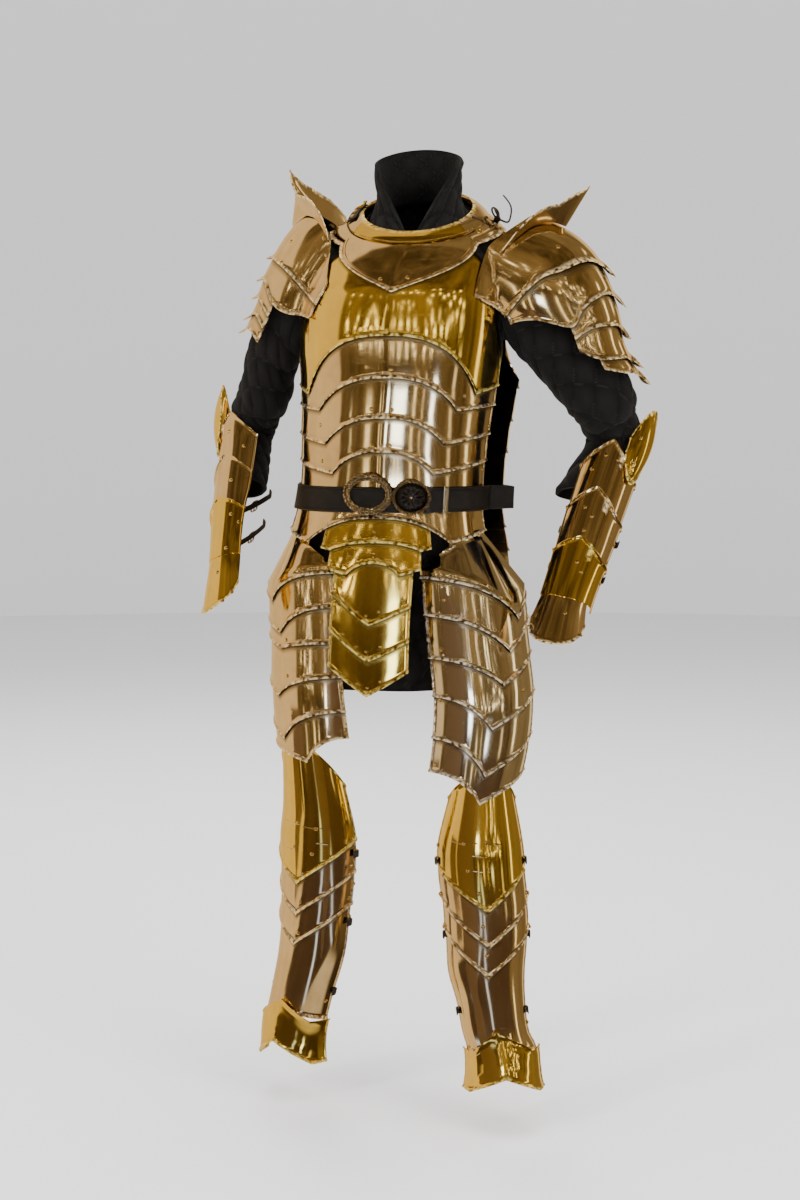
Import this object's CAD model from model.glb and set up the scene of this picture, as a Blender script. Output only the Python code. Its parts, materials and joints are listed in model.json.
import json
import math

import bmesh
import bpy
import numpy as np
from mathutils import Matrix, Vector

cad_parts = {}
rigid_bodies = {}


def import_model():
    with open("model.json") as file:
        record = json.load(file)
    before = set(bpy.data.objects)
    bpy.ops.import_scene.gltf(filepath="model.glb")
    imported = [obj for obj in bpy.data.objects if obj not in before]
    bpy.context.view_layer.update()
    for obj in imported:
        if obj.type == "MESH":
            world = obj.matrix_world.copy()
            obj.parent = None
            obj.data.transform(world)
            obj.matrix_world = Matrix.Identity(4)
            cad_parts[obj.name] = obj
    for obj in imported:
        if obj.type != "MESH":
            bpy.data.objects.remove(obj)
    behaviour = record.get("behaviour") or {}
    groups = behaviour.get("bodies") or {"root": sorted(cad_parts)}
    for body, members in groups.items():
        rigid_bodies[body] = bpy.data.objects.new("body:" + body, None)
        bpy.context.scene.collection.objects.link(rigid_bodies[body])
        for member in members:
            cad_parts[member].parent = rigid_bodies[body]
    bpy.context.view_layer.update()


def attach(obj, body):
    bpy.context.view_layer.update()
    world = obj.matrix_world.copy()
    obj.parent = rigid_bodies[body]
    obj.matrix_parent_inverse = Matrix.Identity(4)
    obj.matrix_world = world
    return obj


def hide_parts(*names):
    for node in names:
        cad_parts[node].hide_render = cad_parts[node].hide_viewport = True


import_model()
print("frame loaded")

# Sizes that every piece shares, in metres. Heights are above the ground the wearer stands on;
# the armour's own origin is at the neck base, so meshes are lowered by neckHeight at the end.
sizes = {
    "neckHeight": 1.53,
    "plate": 0.0016,
    "gap": 0.0003,
    "overlap": 0.015,
    "flare": 0.0025,
    "keel": 0.0030,
}
step = sizes["plate"] + sizes["gap"]
# how far a plate reaches up under the one above it
tucked = sizes["overlap"] * 0.88


# The camera stands where the photograph was taken from: 4 m away, a little to the wearer's left
viewPoint = {"distance": 4.0, "around": 10.0, "height": 1.25, "down": 5.258, "turn": 0.049, "lens": 70.74,
             "sensor": 36, "picture": (800, 1200)}


def addCamera():
    around = math.radians(viewPoint["around"])
    place = (viewPoint["distance"] * math.sin(around), -viewPoint["distance"] * math.cos(around),
             viewPoint["height"] - sizes["neckHeight"])
    turned = (math.radians(90 - viewPoint["down"]), 0, math.radians(viewPoint["around"] + viewPoint["turn"]))
    bpy.ops.object.camera_add(location=place, rotation=turned)
    camera = bpy.context.object
    camera.name = "photoCamera"
    camera.data.lens = viewPoint["lens"]
    camera.data.sensor_width = viewPoint["sensor"]
    bpy.context.scene.camera = camera


def sightline(across, down):
    # the direction of the ray through a point of the picture
    wide, tall = viewPoint["picture"]
    focal = viewPoint["lens"] / viewPoint["sensor"] * tall
    turn = bpy.context.scene.camera.matrix_world.to_3x3()
    return (turn @ Vector(((across - wide / 2) / focal, (tall / 2 - down) / focal, -1))).normalized()


addCamera()
print("camera placed")


# Forms: smooth shapes through rounded rings. A place on one is an angle from its facing
# direction and a height or, where it is bent, the distance from its first ring. A row with one
# size in place of side, front and back is round.
ringColumns = ("x", "y", "z", "side", "front", "back", "facing", "square", "tilt")


def curveThrough(places, values, at):
    last = len(places) - 1
    k = np.clip(np.searchsorted(places, at, side="right"), 1, last)
    low, high = np.maximum(np.arange(last + 1) - 1, 0), np.minimum(np.arange(last + 1) + 1, last)
    slopes = (values[high] - values[low]) / (places[high] - places[low])
    width = places[k] - places[k - 1]
    t = (at - places[k - 1]) / width
    rise = values[k] - values[k - 1]
    a, b = slopes[k - 1] * width - rise, rise - slopes[k] * width
    inside = values[k - 1] + t * rise + t * (1 - t) * (a * (1 - t) + b * t)
    before = values[0] + (at - places[0]) * slopes[0]
    after = values[last] + (at - places[last]) * slopes[last]
    return np.where(t < 0, before, np.where(t > 1, after, inside))


def through(table, at):
    places, values = table
    return curveThrough(np.array(places, float), np.array(values, float), np.asarray(at, float))


class Form:
    def __init__(self, rows, bent=False, hand=1):
        plain = (0.0, 2.0, 0.0)
        rows = [tuple(row) if len(row) > 5 else (*row[:3], row[3], row[3], *row[3:]) for row in rows]
        table = np.array([row + plain[len(row) - 6:] for row in rows], float)
        self.bent, self.hand = bent, hand
        self.rings = table if bent else table[np.argsort(table[:, 2])]
        if bent:
            lengths = np.linalg.norm(np.diff(self.rings[:, :3], axis=0), axis=1)
            self.places = np.concatenate([[0.0], np.cumsum(lengths)])
        else:
            self.places = self.rings[:, 2]

    def ring(self, along):
        return {name: curveThrough(self.places, self.rings[:, k], along)
                for k, name in enumerate(ringColumns)}

    def middle(self, along):
        ring = self.ring(along)
        return np.stack([ring["x"], ring["y"], ring["z"]], -1)

    def directions(self, along):
        down = np.zeros(np.shape(along) + (3,))
        down[..., 2] = -1
        if self.bent:
            down = self.middle(along + 0.005) - self.middle(along - 0.005)
            down /= np.linalg.norm(down, axis=-1, keepdims=True)
        turn = np.radians(self.ring(along)["facing"])
        facing = np.stack([np.sin(turn), -np.cos(turn), np.zeros_like(turn)], -1)
        facing = facing - down * (facing * down).sum(-1, keepdims=True)
        facing /= np.linalg.norm(facing, axis=-1, keepdims=True)
        return facing, np.cross(facing, down)

    def surface(self, angle, along):
        ring = self.ring(along)
        facing, sideways = self.directions(along)
        c, s = np.cos(np.radians(angle)), self.hand * np.sin(np.radians(angle))
        power = 2 / ring["square"]
        ahead = np.sign(c) * np.abs(c) ** power * np.where(c > 0, ring["front"], ring["back"])
        across = np.sign(s) * np.abs(s) ** power * ring["side"]
        spot = self.middle(along) + facing * ahead[..., None] + sideways * across[..., None]
        spot[..., 2] += ring["tilt"] * (spot[..., 1] - ring["y"])
        return spot

    def normal(self, angle, along):
        around = self.surface(angle + 2, along) - self.surface(angle - 2, along)
        down = self.surface(angle, along + 0.003) - self.surface(angle, along - 0.003)
        normal = np.cross(around, down)
        normal /= np.linalg.norm(normal, axis=-1, keepdims=True)
        outward = self.surface(angle, along) - self.middle(along)
        return normal * np.sign((normal * outward).sum(-1, keepdims=True))

    def point(self, angle, along, out=0.0):
        angle, along, out = np.broadcast_arrays(np.asarray(angle, float), np.asarray(along, float),
                                                np.asarray(out, float))
        return self.surface(angle, along) + self.normal(angle, along) * out[..., None]

    def holds(self, spots, out=0.0):
        along = spots[..., 2] - self.ring(spots[..., 2])["tilt"] * spots[..., 1]
        ring = self.ring(along)
        deep = np.where(spots[..., 1] < ring["y"], ring["front"], ring["back"]) + out
        reach = np.abs((spots[..., 1] - ring["y"]) / deep) ** ring["square"]
        return reach + np.abs((spots[..., 0] - ring["x"]) / (ring["side"] + out)) ** ring["square"] < 1


# Finishes: a socket that Python's own operators work on, and a material that is built from them
class Wire:
    def __init__(self, tree, socket):
        self.tree, self.socket = tree, socket

    def maths(self, operation, *values):
        node = self.tree.nodes.new("ShaderNodeMath")
        node.operation = operation
        for k, value in enumerate(values):
            if isinstance(value, Wire):
                self.tree.links.new(value.socket, node.inputs[k])
            else:
                node.inputs[k].default_value = value
        return Wire(self.tree, node.outputs[0])

    def clipped(self):
        return self.maths("MINIMUM", self.maths("MAXIMUM", self, 0.0), 1.0)

    def wave(self, turns):
        return self.maths("SINE", self * (turns * 2 * math.pi))

    def size(self):
        return self.maths("ABSOLUTE", self)


def operator(operation, turned):
    if turned:
        return lambda wire, other: wire.maths(operation, other, wire)
    return lambda wire, other: wire.maths(operation, wire, other)


for name, operation in (("add", "ADD"), ("sub", "SUBTRACT"), ("mul", "MULTIPLY"), ("truediv", "DIVIDE"),
                        ("pow", "POWER")):
    setattr(Wire, f"__{name}__", operator(operation, False))
    setattr(Wire, f"__r{name}__", operator(operation, True))


class NodeMaker:
    def __init__(self, tree):
        self.tree = tree

    def plug(self, socket, value):
        if isinstance(value, Wire):
            self.tree.links.new(value.socket, socket)
        elif isinstance(value, tuple) and socket.type == "RGBA":
            socket.default_value = (*value, 1)
        else:
            socket.default_value = value

    def node(self, kind, settings=None, inputs=None, output=0):
        made = self.tree.nodes.new("ShaderNode" + kind)
        for key, value in (settings or {}).items():
            setattr(made, key, value)
        for key, value in (inputs or {}).items():
            self.plug(made.inputs[key], value)
        return Wire(self.tree, made.outputs[output])

    def mix(self, amount, first, second):
        return self.node("Mix", {"data_type": "RGBA"}, {0: amount, 6: first, 7: second}, 2)

    def noise(self, place, scale, detail=3.0, rough=0.5, stretch=None):
        if stretch:
            place = self.node("Mapping", inputs={"Vector": place, "Scale": stretch})
        return self.node("TexNoise", inputs={"Vector": place, "Scale": scale, "Detail": detail,
                                             "Roughness": rough})

    def bump(self, height, depth, strength=1.0, under=None):
        inputs = {"Height": height, "Distance": depth, "Strength": strength}
        if under:
            inputs["Normal"] = under
        return self.node("Bump", inputs=inputs)


class Finish(NodeMaker):
    def __init__(self, name):
        self.material = bpy.data.materials.new(name)
        self.material.use_nodes = True
        super().__init__(self.material.node_tree)
        self.shader = self.tree.nodes["Principled BSDF"]
        self.place = self.node("TexCoord", output="Object")

    def attribute(self, name):
        return self.node("Attribute", {"attribute_name": name}, output="Fac")

    def axis(self, vector, name):
        return self.node("SeparateXYZ", inputs={"Vector": vector}, output=name)

    def feed(self, **sockets):
        for key, value in sockets.items():
            self.plug(self.shader.inputs[key.replace("_", " ")], value)
        return self.material


# Metals: their clean and smoked colours, that of a rolled rim, how smoked and how rough they are,
# and the depth of their dents
metalLooks = {
    "bronzedSteel": {"tone": (0.90, 0.74, 0.50), "smoke": (0.50, 0.34, 0.17), "rim": (1.0, 0.79, 0.40),
                     "smoked": 0.55, "rough": 0.105, "dents": 0.00016},
    "paleSteel": {"tone": (0.86, 0.78, 0.67), "smoke": (0.45, 0.35, 0.23), "rim": (1.0, 0.83, 0.52),
                  "smoked": 0.45, "rough": 0.105, "dents": 0.00016},
    "gildedBrass": {"tone": (1.0, 0.76, 0.20), "smoke": (0.60, 0.41, 0.06), "rim": (1.0, 0.80, 0.26),
                    "smoked": 0.45, "rough": 0.095, "dents": 0.00008},
    "ringMetal": {"tone": (1.0, 0.76, 0.20), "smoke": (0.60, 0.41, 0.06), "rim": (1.0, 0.80, 0.26),
                  "smoked": 0.45, "rough": 0.12, "dents": 0.00025, "over": "bronzedSteel"},
    "darkPewter": {"tone": (0.62, 0.52, 0.38), "smoke": (0.07, 0.055, 0.04), "rim": (0.58, 0.52, 0.42),
                   "smoked": 1.0, "rough": 0.26, "dents": 0.0002},
    "blackBoss": {"tone": (0.060, 0.056, 0.060), "smoke": (0.014, 0.013, 0.013), "rim": (0.3, 0.25, 0.2),
                  "smoked": 0.9, "rough": 0.26, "dents": 0.0002},
    "brightRivet": {"tone": (1.0, 0.80, 0.40), "smoke": (0.60, 0.40, 0.14), "rim": (1.0, 0.86, 0.48),
                    "smoked": 0.3, "rough": 0.22, "dents": 0.0001},
    "buckleSteel": {"tone": (0.84, 0.80, 0.74), "smoke": (0.30, 0.26, 0.21), "rim": (0.97, 0.93, 0.86),
                    "smoked": 0.5, "rough": 0.22, "dents": 0.0001},
}


# what a note of the distance below a seam has added, so that no note at all reads as far above it
seamZero = 0.1


def metalFinish(name):
    look = metalLooks[name]
    finish = Finish(name)
    edge, below = finish.attribute("fromEdge"), finish.attribute("underSeam") - seamZero
    broad = finish.noise(finish.place, 8.0, 1.0)
    cloudy = finish.noise(finish.place, 34.0, 2.0, 0.6)
    beaded = finish.noise(finish.place, 170.0, 0.0)
    brushed = finish.noise(finish.place, 60.0, 1.0, 0.5, stretch=(1.0, 1.0, 14.0))
    rim = (1.0 - edge / 0.0064).clipped()
    # soot gathers inside each rolled rim and in the seam under the plate above
    soot = ((1.0 - edge / 0.013).clipped() * (edge / 0.005).clipped()) ** 1.5
    seam = ((1.0 - below / 0.0105).clipped() * ((below + 0.098) / 0.004).clipped()) ** 1.3
    smoked = ((broad * 1.9 - 0.62).clipped() * 0.6 + (cloudy * 2.2 - 0.9).clipped() * 0.4) * look["smoked"]
    tone, smoke = look["tone"], look["smoke"]
    if "over" in look:
        # one plate laid over another: its metal, and a dark line along its edge
        laid = finish.attribute("overlaid") - 1.0
        covered = (laid / 0.03 + 0.5).clipped()
        tone = finish.mix(covered, tone, metalLooks[look["over"]]["tone"])
        smoke = finish.mix(covered, smoke, metalLooks[look["over"]]["smoke"])
        soot = soot + (1.0 - (laid + 0.03).size() / 0.05).clipped() * 1.6
    colour = finish.mix((smoked + soot * 0.45).clipped(), tone, smoke)
    sparks = (beaded * 3.2 - 0.95).clipped()
    colour = finish.mix(rim * 0.92, colour, finish.mix(sparks, look["smoke"], look["rim"]))
    colour = finish.mix(seam * 0.95, colour, (0.014, 0.009, 0.006))
    rough = cloudy * 0.06 + brushed * 0.04 + smoked * 0.10 + rim * 0.05 + seam * 0.3 + (look["rough"] - 0.06)
    dents = finish.bump(broad, look["dents"] * 0.6)
    dents = finish.bump(beaded * rim, 0.0011, under=dents)
    scratches = finish.bump(brushed, 0.000003, 0.5, dents)
    return finish.feed(Base_Color=colour, Metallic=1.0 - rim * sparks * 0.55, Roughness=rough.clipped(),
                       Normal=scratches)


def quiltedFinish(name):
    # black cotton: a plain weave, sewn in diamonds, dusty on the puffs and dark in the seams
    finish = Finish(name)
    weave = finish.node("UVMap", {"uv_map": "cloth"})
    puffed, stitch = finish.attribute("puffed"), finish.attribute("stitch")
    threadsPerMetre = 700.0
    across, along = (finish.axis(weave, axis).wave(threadsPerMetre) for axis in "XY")
    threads = across * along * 0.5 + 0.5
    slubs = finish.noise(finish.place, 420.0, 3.0, 0.6, stretch=(1.0, 1.0, 0.35))
    dust = finish.noise(finish.place, 14.0, 4.0, 0.55)
    lint = ((finish.noise(finish.place, 900.0, 1.0) - 0.66) * 7.0).clipped()
    colour = finish.mix(puffed * 0.5 + dust * 0.35, (0.0030, 0.0028, 0.0030), (0.0125, 0.0112, 0.0108))
    colour = finish.mix(lint * 0.10, colour, (0.12, 0.11, 0.10))
    colour = finish.mix(stitch * 0.55, colour, (0.026, 0.023, 0.022))
    bump = finish.bump(threads, 0.00022, 0.8)
    bump = finish.bump(slubs, 0.0004, 0.8, bump)
    bump = finish.bump(stitch, 0.0006, 1.0, bump)
    finish.feed(Sheen_Weight=0.04, Sheen_Roughness=0.5, Specular_IOR_Level=0.14)
    return finish.feed(Base_Color=colour, Roughness=0.80 + dust * 0.14, Normal=bump)


def leatherFinish(name):
    # black leather, grained and creased, and rubbed brown along its edges
    finish = Finish(name)
    tone, paler, worn = (0.0060, 0.0052, 0.0048), (0.0126, 0.01092, 0.01008), (0.038, 0.028, 0.020)
    grain = finish.node("TexVoronoi", {"feature": "DISTANCE_TO_EDGE"},
                        {"Vector": finish.place, "Scale": 620.0}, output="Distance")
    creased = finish.noise(finish.place, 70.0, 6.0, 0.62, stretch=(1.0, 1.0, 2.2))
    broad = finish.noise(finish.place, 16.0, 3.0)
    edge = finish.attribute("fromEdge")
    rubbed = ((1.0 - edge / 0.0028).clipped() * 0.55 + (creased * 2.4 - 1.25).clipped() * 0.5).clipped()
    colour = finish.mix(rubbed, finish.mix(broad, tone, paler), worn)
    bump = finish.bump((grain * 5.0).clipped(), 0.00016, 0.7)
    bump = finish.bump(creased, 0.0007, 0.8, bump)
    finish.feed(Specular_IOR_Level=0.22)
    return finish.feed(Base_Color=colour, Roughness=broad * 0.22 + rubbed * 0.15 + 0.34, Normal=bump)


finishes = {name: metalFinish(name) for name in metalLooks}
finishes["quiltedCotton"] = quiltedFinish("quiltedCotton")
finishes["blackLeather"] = leatherFinish("blackLeather")
print("finishes made")


def deselect():
    if bpy.context.object and bpy.context.object.mode != "OBJECT":
        bpy.ops.object.mode_set(mode="OBJECT")
    bpy.ops.object.select_all(action="DESELECT")


def choose(piece):
    deselect()
    piece.select_set(True)
    bpy.context.view_layer.objects.active = piece


def pointsOf(blank):
    spots = np.empty(len(blank.data.vertices) * 3)
    blank.data.vertices.foreach_get("co", spots)
    return spots.reshape(-1, 3)


def flatBlank(name, columns, rows):
    deselect()
    bpy.ops.mesh.primitive_grid_add(x_subdivisions=columns, y_subdivisions=rows, size=1)
    blank = bpy.context.object
    blank.name = blank.data.name = name
    spots = pointsOf(blank)
    return blank, np.rint((spots[:, 0] + 0.5) * columns).astype(int), np.rint((0.5 - spots[:, 1]) * rows).astype(int)


def lowered(spots):
    # places above the ground, seen from the neck base
    spots = np.array(spots, float)
    spots[..., 2] -= sizes["neckHeight"]
    return spots


def lay(blank, spots):
    blank.data.vertices.foreach_set("co", lowered(spots).ravel())
    blank.data.update()


def note(blank, name, values):
    layer = blank.data.attributes.new(name, "FLOAT", "POINT")
    layer.data.foreach_set("value", np.asarray(values, np.float32))


def edited(piece, *steps):
    # runs mesh operators, each given with its settings, on all of the piece
    choose(piece)
    bpy.ops.object.mode_set(mode="EDIT")
    bpy.ops.mesh.select_all(action="SELECT")
    for run, settings in steps:
        run(**settings)
    bpy.ops.object.mode_set(mode="OBJECT")


def weld(blank, near=0.00002):
    edited(blank, (bpy.ops.mesh.remove_doubles, {"threshold": near}))


def cornersOf(blank):
    corner = np.empty(len(blank.data.loops), int)
    blank.data.loops.foreach_get("vertex_index", corner)
    return corner


def faceOut(blank, middle):
    # turns the sheet so that its faces look away from the middle, a place for each point
    first = blank.data.polygons[len(blank.data.polygons) // 2]
    away = np.array(first.center) - middle[cornersOf(blank)[first.loop_start]]
    if np.dot(np.array(first.normal), away) < 0:
        edited(blank, (bpy.ops.mesh.flip_normals, {}))


def modify(piece, kind, **settings):
    choose(piece)
    modifier = piece.modifiers.new(kind.title(), kind)
    for key, value in settings.items():
        setattr(modifier, key, value)
    bpy.ops.object.modifier_apply(modifier=modifier.name)


def thicken(blank, middle, thickness=None, closed=False):
    # the sheet faces away from the middle, and its thickness lies behind it
    faceOut(blank, lowered(middle))
    if closed:
        weld(blank)
    modify(blank, "SOLIDIFY", thickness=thickness or sizes["plate"], offset=-1)


def finishPiece(piece, finish, nodes=(), smoothAngle=35):
    choose(piece)
    if finish in metalLooks and "fromEdge" not in piece.data.attributes:
        # a small fitting has no rolled rim
        note(piece, "fromEdge", np.ones(len(piece.data.vertices)))
    piece.data.materials.clear()
    piece.data.materials.append(finishes[finish])
    bpy.ops.object.shade_smooth_by_angle(angle=math.radians(smoothAngle))
    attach(piece, "root")
    if nodes:
        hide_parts(*nodes)


def joined(name, parts):
    deselect()
    for part in parts:
        part.select_set(True)
    bpy.context.view_layer.objects.active = parts[0]
    if len(parts) > 1:
        bpy.ops.object.join()
    piece = bpy.context.object
    piece.name = piece.data.name = name
    return piece


def fineStops(stops, parts):
    stops = np.asarray(stops, float)
    return np.interp(np.arange((len(stops) - 1) * parts + 1) / parts, np.arange(len(stops)), stops)


def sheetMetal(name, form, stops, rows, parts, thickness=None, closed=False, seam=None, border=None):
    angles = fineStops(stops, parts)
    if border:
        # closer columns by the two ends, for a raised line along each
        near = border * np.array([0.0, 0.10, 0.22, 0.36, 0.52, 0.70, 1.0])
        inner = angles[(angles > stops[0] + border * 1.2) & (angles < stops[-1] - border * 1.2)]
        angles = np.concatenate([stops[0] + near, inner, (stops[-1] - near)[::-1]])
    heights, outs = [], []
    for k, (height, out, steps) in enumerate(rows):
        high, proud = height(angles), out(angles)
        if k:
            for share in np.arange(1, steps + 1) / steps:
                heights.append(before[0] + (high - before[0]) * share)
                outs.append(before[1] + (proud - before[1]) * share)
        else:
            heights.append(high)
            outs.append(proud)
        before = (high, proud)
    heights, outs = np.array(heights), np.array(outs)
    fromSide = np.minimum(angles - angles[0], angles[-1] - angles)
    if border:
        outs = outs + 0.0020 * np.exp(-((fromSide / border - 0.30) / 0.17) ** 2)
    blank, column, row = flatBlank(name, len(angles) - 1, len(heights) - 1)
    angle, along = angles[column], heights[row, column]
    lay(blank, form.point(angle, along, outs[row, column]))
    fromEdge = np.abs(heights[row, column] - heights[-1, column])
    if border:
        fromEdge = np.minimum(fromEdge, 0.001 + fromSide[column] / border * 0.0075)
        # the rolled rim widens to a bright tip at the middle
        fromEdge = fromEdge * (1 - 0.5 * np.exp(-(angle / (border * 0.7)) ** 2))
    note(blank, "fromEdge", fromEdge)
    if seam is not None:
        note(blank, "underSeam", np.abs(heights[row, column] - heights[0, column]) - seam + seamZero)
    thicken(blank, form.middle(along), thickness, closed)
    return blank


# Edges of plates are curves of height by angle; outs are curves of distance off the form by angle
def level(value):
    return lambda angle: np.full_like(angle, value)


def raised(curve, amount):
    return lambda angle: curve(angle) + amount


def between(upper, lower, share=0.5):
    return lambda angle: upper(angle) * (1 - share) + lower(angle) * share


def arched(edge, last):
    middle, cusp, end, cuspAngle = edge

    def height(angle):
        turn = np.abs(angle)
        inner = middle - (middle - cusp) * np.minimum(turn / cuspAngle, 1) ** 2.3
        return np.where(turn <= cuspAngle, inner, cusp + (end - cusp) * (turn - cuspAngle) / (last - cuspAngle))
    return height


def keeled(out):
    return lambda angle: out + sizes["keel"] * np.clip(1 - np.abs(angle) / 5.0, 0, 1) ** 1.3


def mirrored(table):
    angles, values = table
    return lambda angle: through((angles, values), np.minimum(np.abs(angle), angles[-1]))


def rolledRim(lower, out, proud):
    rim = ((0.0100, 0.0), (0.0066, 0.0001), (0.0046, 0.0008), (0.0030, 0.0021), (0.0014, 0.0028), (0.0, 0.0022))
    return [(raised(lower, up), out(proud + lift), 1) for up, lift in rim]


def lameRows(upper, lower, out=level, steps=3):
    rows = [(raised(upper, tucked), out(0), 0), (raised(lower, sizes["overlap"]), out(step), steps)]
    return rows + rolledRim(lower, out, step)


# Trunk
trunkRings = [
    (0.028, 0.0, 1.64, 0.086, 0.092, 0.084, 0, 2.0, 0.3), (0.028, 0.0, 1.59, 0.08, 0.083, 0.078, 0, 2.0, 0.4),
    (0.028, 0.0, 1.552, 0.079, 0.083, 0.079, 0, 2.0, 0.45),
    (0.028, 0.0, 1.537, 0.088, 0.093, 0.088, 0, 2.0, 0.45),
    (0.027, 0.0, 1.524, 0.108, 0.108, 0.102, 0, 2.0, 0.42),
    (0.026, 0.0, 1.508, 0.136, 0.121, 0.113, 0, 2.0, 0.36),
    (0.023, 0.0, 1.48, 0.16, 0.136, 0.121, 0, 2.0, 0.26), (0.018, 0.0, 1.44, 0.172, 0.149, 0.126, 0, 2.0, 0.12),
    (0.011, 0.0, 1.395, 0.176, 0.158, 0.129, 0, 2.1), (0.004, 0.0, 1.33, 0.176, 0.16, 0.129, 0, 2.2),
    (0.001, 0.0, 1.25, 0.167, 0.158, 0.125, 0, 2.2), (-0.007, 0.0, 1.16, 0.159, 0.149, 0.116, 0, 2.2),
    (-0.012, 0.0, 1.08, 0.156, 0.139, 0.112, 0, 2.2), (-0.017, 0.0, 1.03, 0.16, 0.139, 0.118, 0, 2.2),
    (-0.023, 0.0, 0.95, 0.176, 0.144, 0.13, 0, 2.2), (-0.03, 0.0, 0.85, 0.178, 0.148, 0.134, 0, 2.2),
    (-0.033, 0.0, 0.73, 0.178, 0.15, 0.134, 0, 2.2),
]
trunk = Form(trunkRings)
chest = {
    "halfStops": (0, 12.5, 24, 30, 36, 42, 55, 68, 80),
    "backStops": (102, 116, 130, 146, 163, 180, 197, 214, 230, 244, 258),
    "breastplateEdge": (1.326, 1.232, 1.247, 55),
    "bellyEdges": [
        (1.258, 1.205, 1.214, 42), (1.193, 1.150, 1.166, 36), (1.138, 1.101, 1.121, 30),
    ],
    "waistEdge": (1.046, 1.046, 1.046, 42),
    "fauldEdges": [
        (1.028, 0.986, 1.003, 42), (0.988, 0.974, 0.978, 24), (0.954, 0.934, 0.944, 12.5),
    ],
    "fauldReach": (80, 30, 24),
    "breastArmhole": ((0, 42, 55, 68, 80), (1.520, 1.508, 1.440, 1.352, 1.300)),
}
back = {
    "edges": [(1.245, 1.245, 1.262, 150), (1.190, 1.190, 1.207, 150),
              (1.135, 1.135, 1.152, 150), (1.046, 1.046, 1.046, 150)],
    "culetEdges": [(1.000, 1.000, 1.012, 150), (0.962, 0.962, 0.978, 150),
               (0.925, 0.925, 0.946, 150)],
    "armhole": ((0, 17, 34, 50, 64, 78), (1.470, 1.469, 1.460, 1.425, 1.345, 1.298)),
    "stand": (0.028, 0.003),
}
gorget = {
    "point": 1.395,
    "shoulder": 1.500,
    "back": 1.455,
    "top": 1.526,
    "ring": (1.519, 1.537),
    "brassTurn": (-62, -40, 50, 84),
    "brassShare": (-0.1, 1.05, 1.05, -0.1),
}
frontStops = tuple(-a for a in chest["halfStops"][:0:-1]) + chest["halfStops"]
frontEdges = [arched(edge, 80) for edge in
              [chest["breastplateEdge"], *chest["bellyEdges"], chest["waistEdge"]]]
fauldEdges = [arched(edge, reach) for edge, reach in zip(chest["fauldEdges"], chest["fauldReach"])]


def gorgetEdge(angle):
    reach = np.minimum(1, np.abs(angle) / 52)
    return gorget["point"] + (gorget["shoulder"] - gorget["point"]) * reach


def makeChest():
    def armhole(angle):
        return np.minimum(gorgetEdge(angle) + sizes["overlap"] * 0.9,
                          through(chest["breastArmhole"], np.abs(angle)))

    seat = raised(frontEdges[0], sizes["overlap"])
    rows = [(armhole, keeled(0), 0), (seat, keeled(step), 26)] + rolledRim(frontEdges[0], keeled, step)
    finishPiece(sheetMetal("breastplate", trunk, frontStops, rows, 5, seam=tucked, border=5), "gildedBrass",
                ["breastplate"])
    names = ["belly_lame_1", "belly_lame_2", "belly_lame_3", "waist_plate_front"]
    for name, upper, lower in zip(names, frontEdges, frontEdges[1:]):
        rows = lameRows(upper, lower, out=keeled, steps=8)
        if name == "waist_plate_front":
            rows = rows[:2] + [(raised(lower, 0.012), level(step), 1), (lower, level(step + 0.002), 4)]
        finishPiece(sheetMetal(name, trunk, frontStops, rows, 5, seam=tucked, border=5), "bronzedSteel", [name])
    for k, (upper, lower, reach) in enumerate(zip(frontEdges[-1:] + fauldEdges, fauldEdges, chest["fauldReach"])):
        stops = [angle for angle in frontStops if abs(angle) <= reach]
        name = f"fauld_lame_{k + 1}"
        finishPiece(sheetMetal(name, trunk, stops, lameRows(upper, lower), 6, seam=tucked, border=2.4),
                    "gildedBrass" if k else "bronzedSteel", [name])


def standing(out, share=1.0):
    def offset(angle):
        stand = np.where(angle < 180, back["stand"][0], back["stand"][1])
        return out + share * stand * (np.abs(180 - angle) / 78) ** 3
    return offset


def makeBack():
    def roundBack(edge):
        curve = arched(edge, 78)
        return lambda angle: curve(180 - angle)

    def shoulder(angle):
        return through(back["armhole"], np.abs(180 - angle))

    edges = [roundBack(edge) for edge in back["edges"]]
    seat = raised(edges[0], sizes["overlap"])
    rim = rolledRim(edges[0], standing, step)
    rows = [(between(shoulder, seat, k / 8), standing(step * k / 8, k / 8), 2) for k in range(9)]
    plate = sheetMetal("back_plate", trunk, chest["backStops"], rows + rim, 5)
    finishPiece(plate, "bronzedSteel", ["back_plate"])
    culet = [edges[-1]] + [roundBack(edge) for edge in back["culetEdges"]]
    for name, curves in (("back_lames", edges), ("culet", culet)):
        lames = [sheetMetal(f"{name}_{k}", trunk, chest["backStops"], lameRows(upper, lower, out=standing), 5,
                            seam=tucked)
                 for k, (upper, lower) in enumerate(zip(curves, curves[1:]))]
        finishPiece(joined(name, lames), "bronzedSteel", [name])


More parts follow.
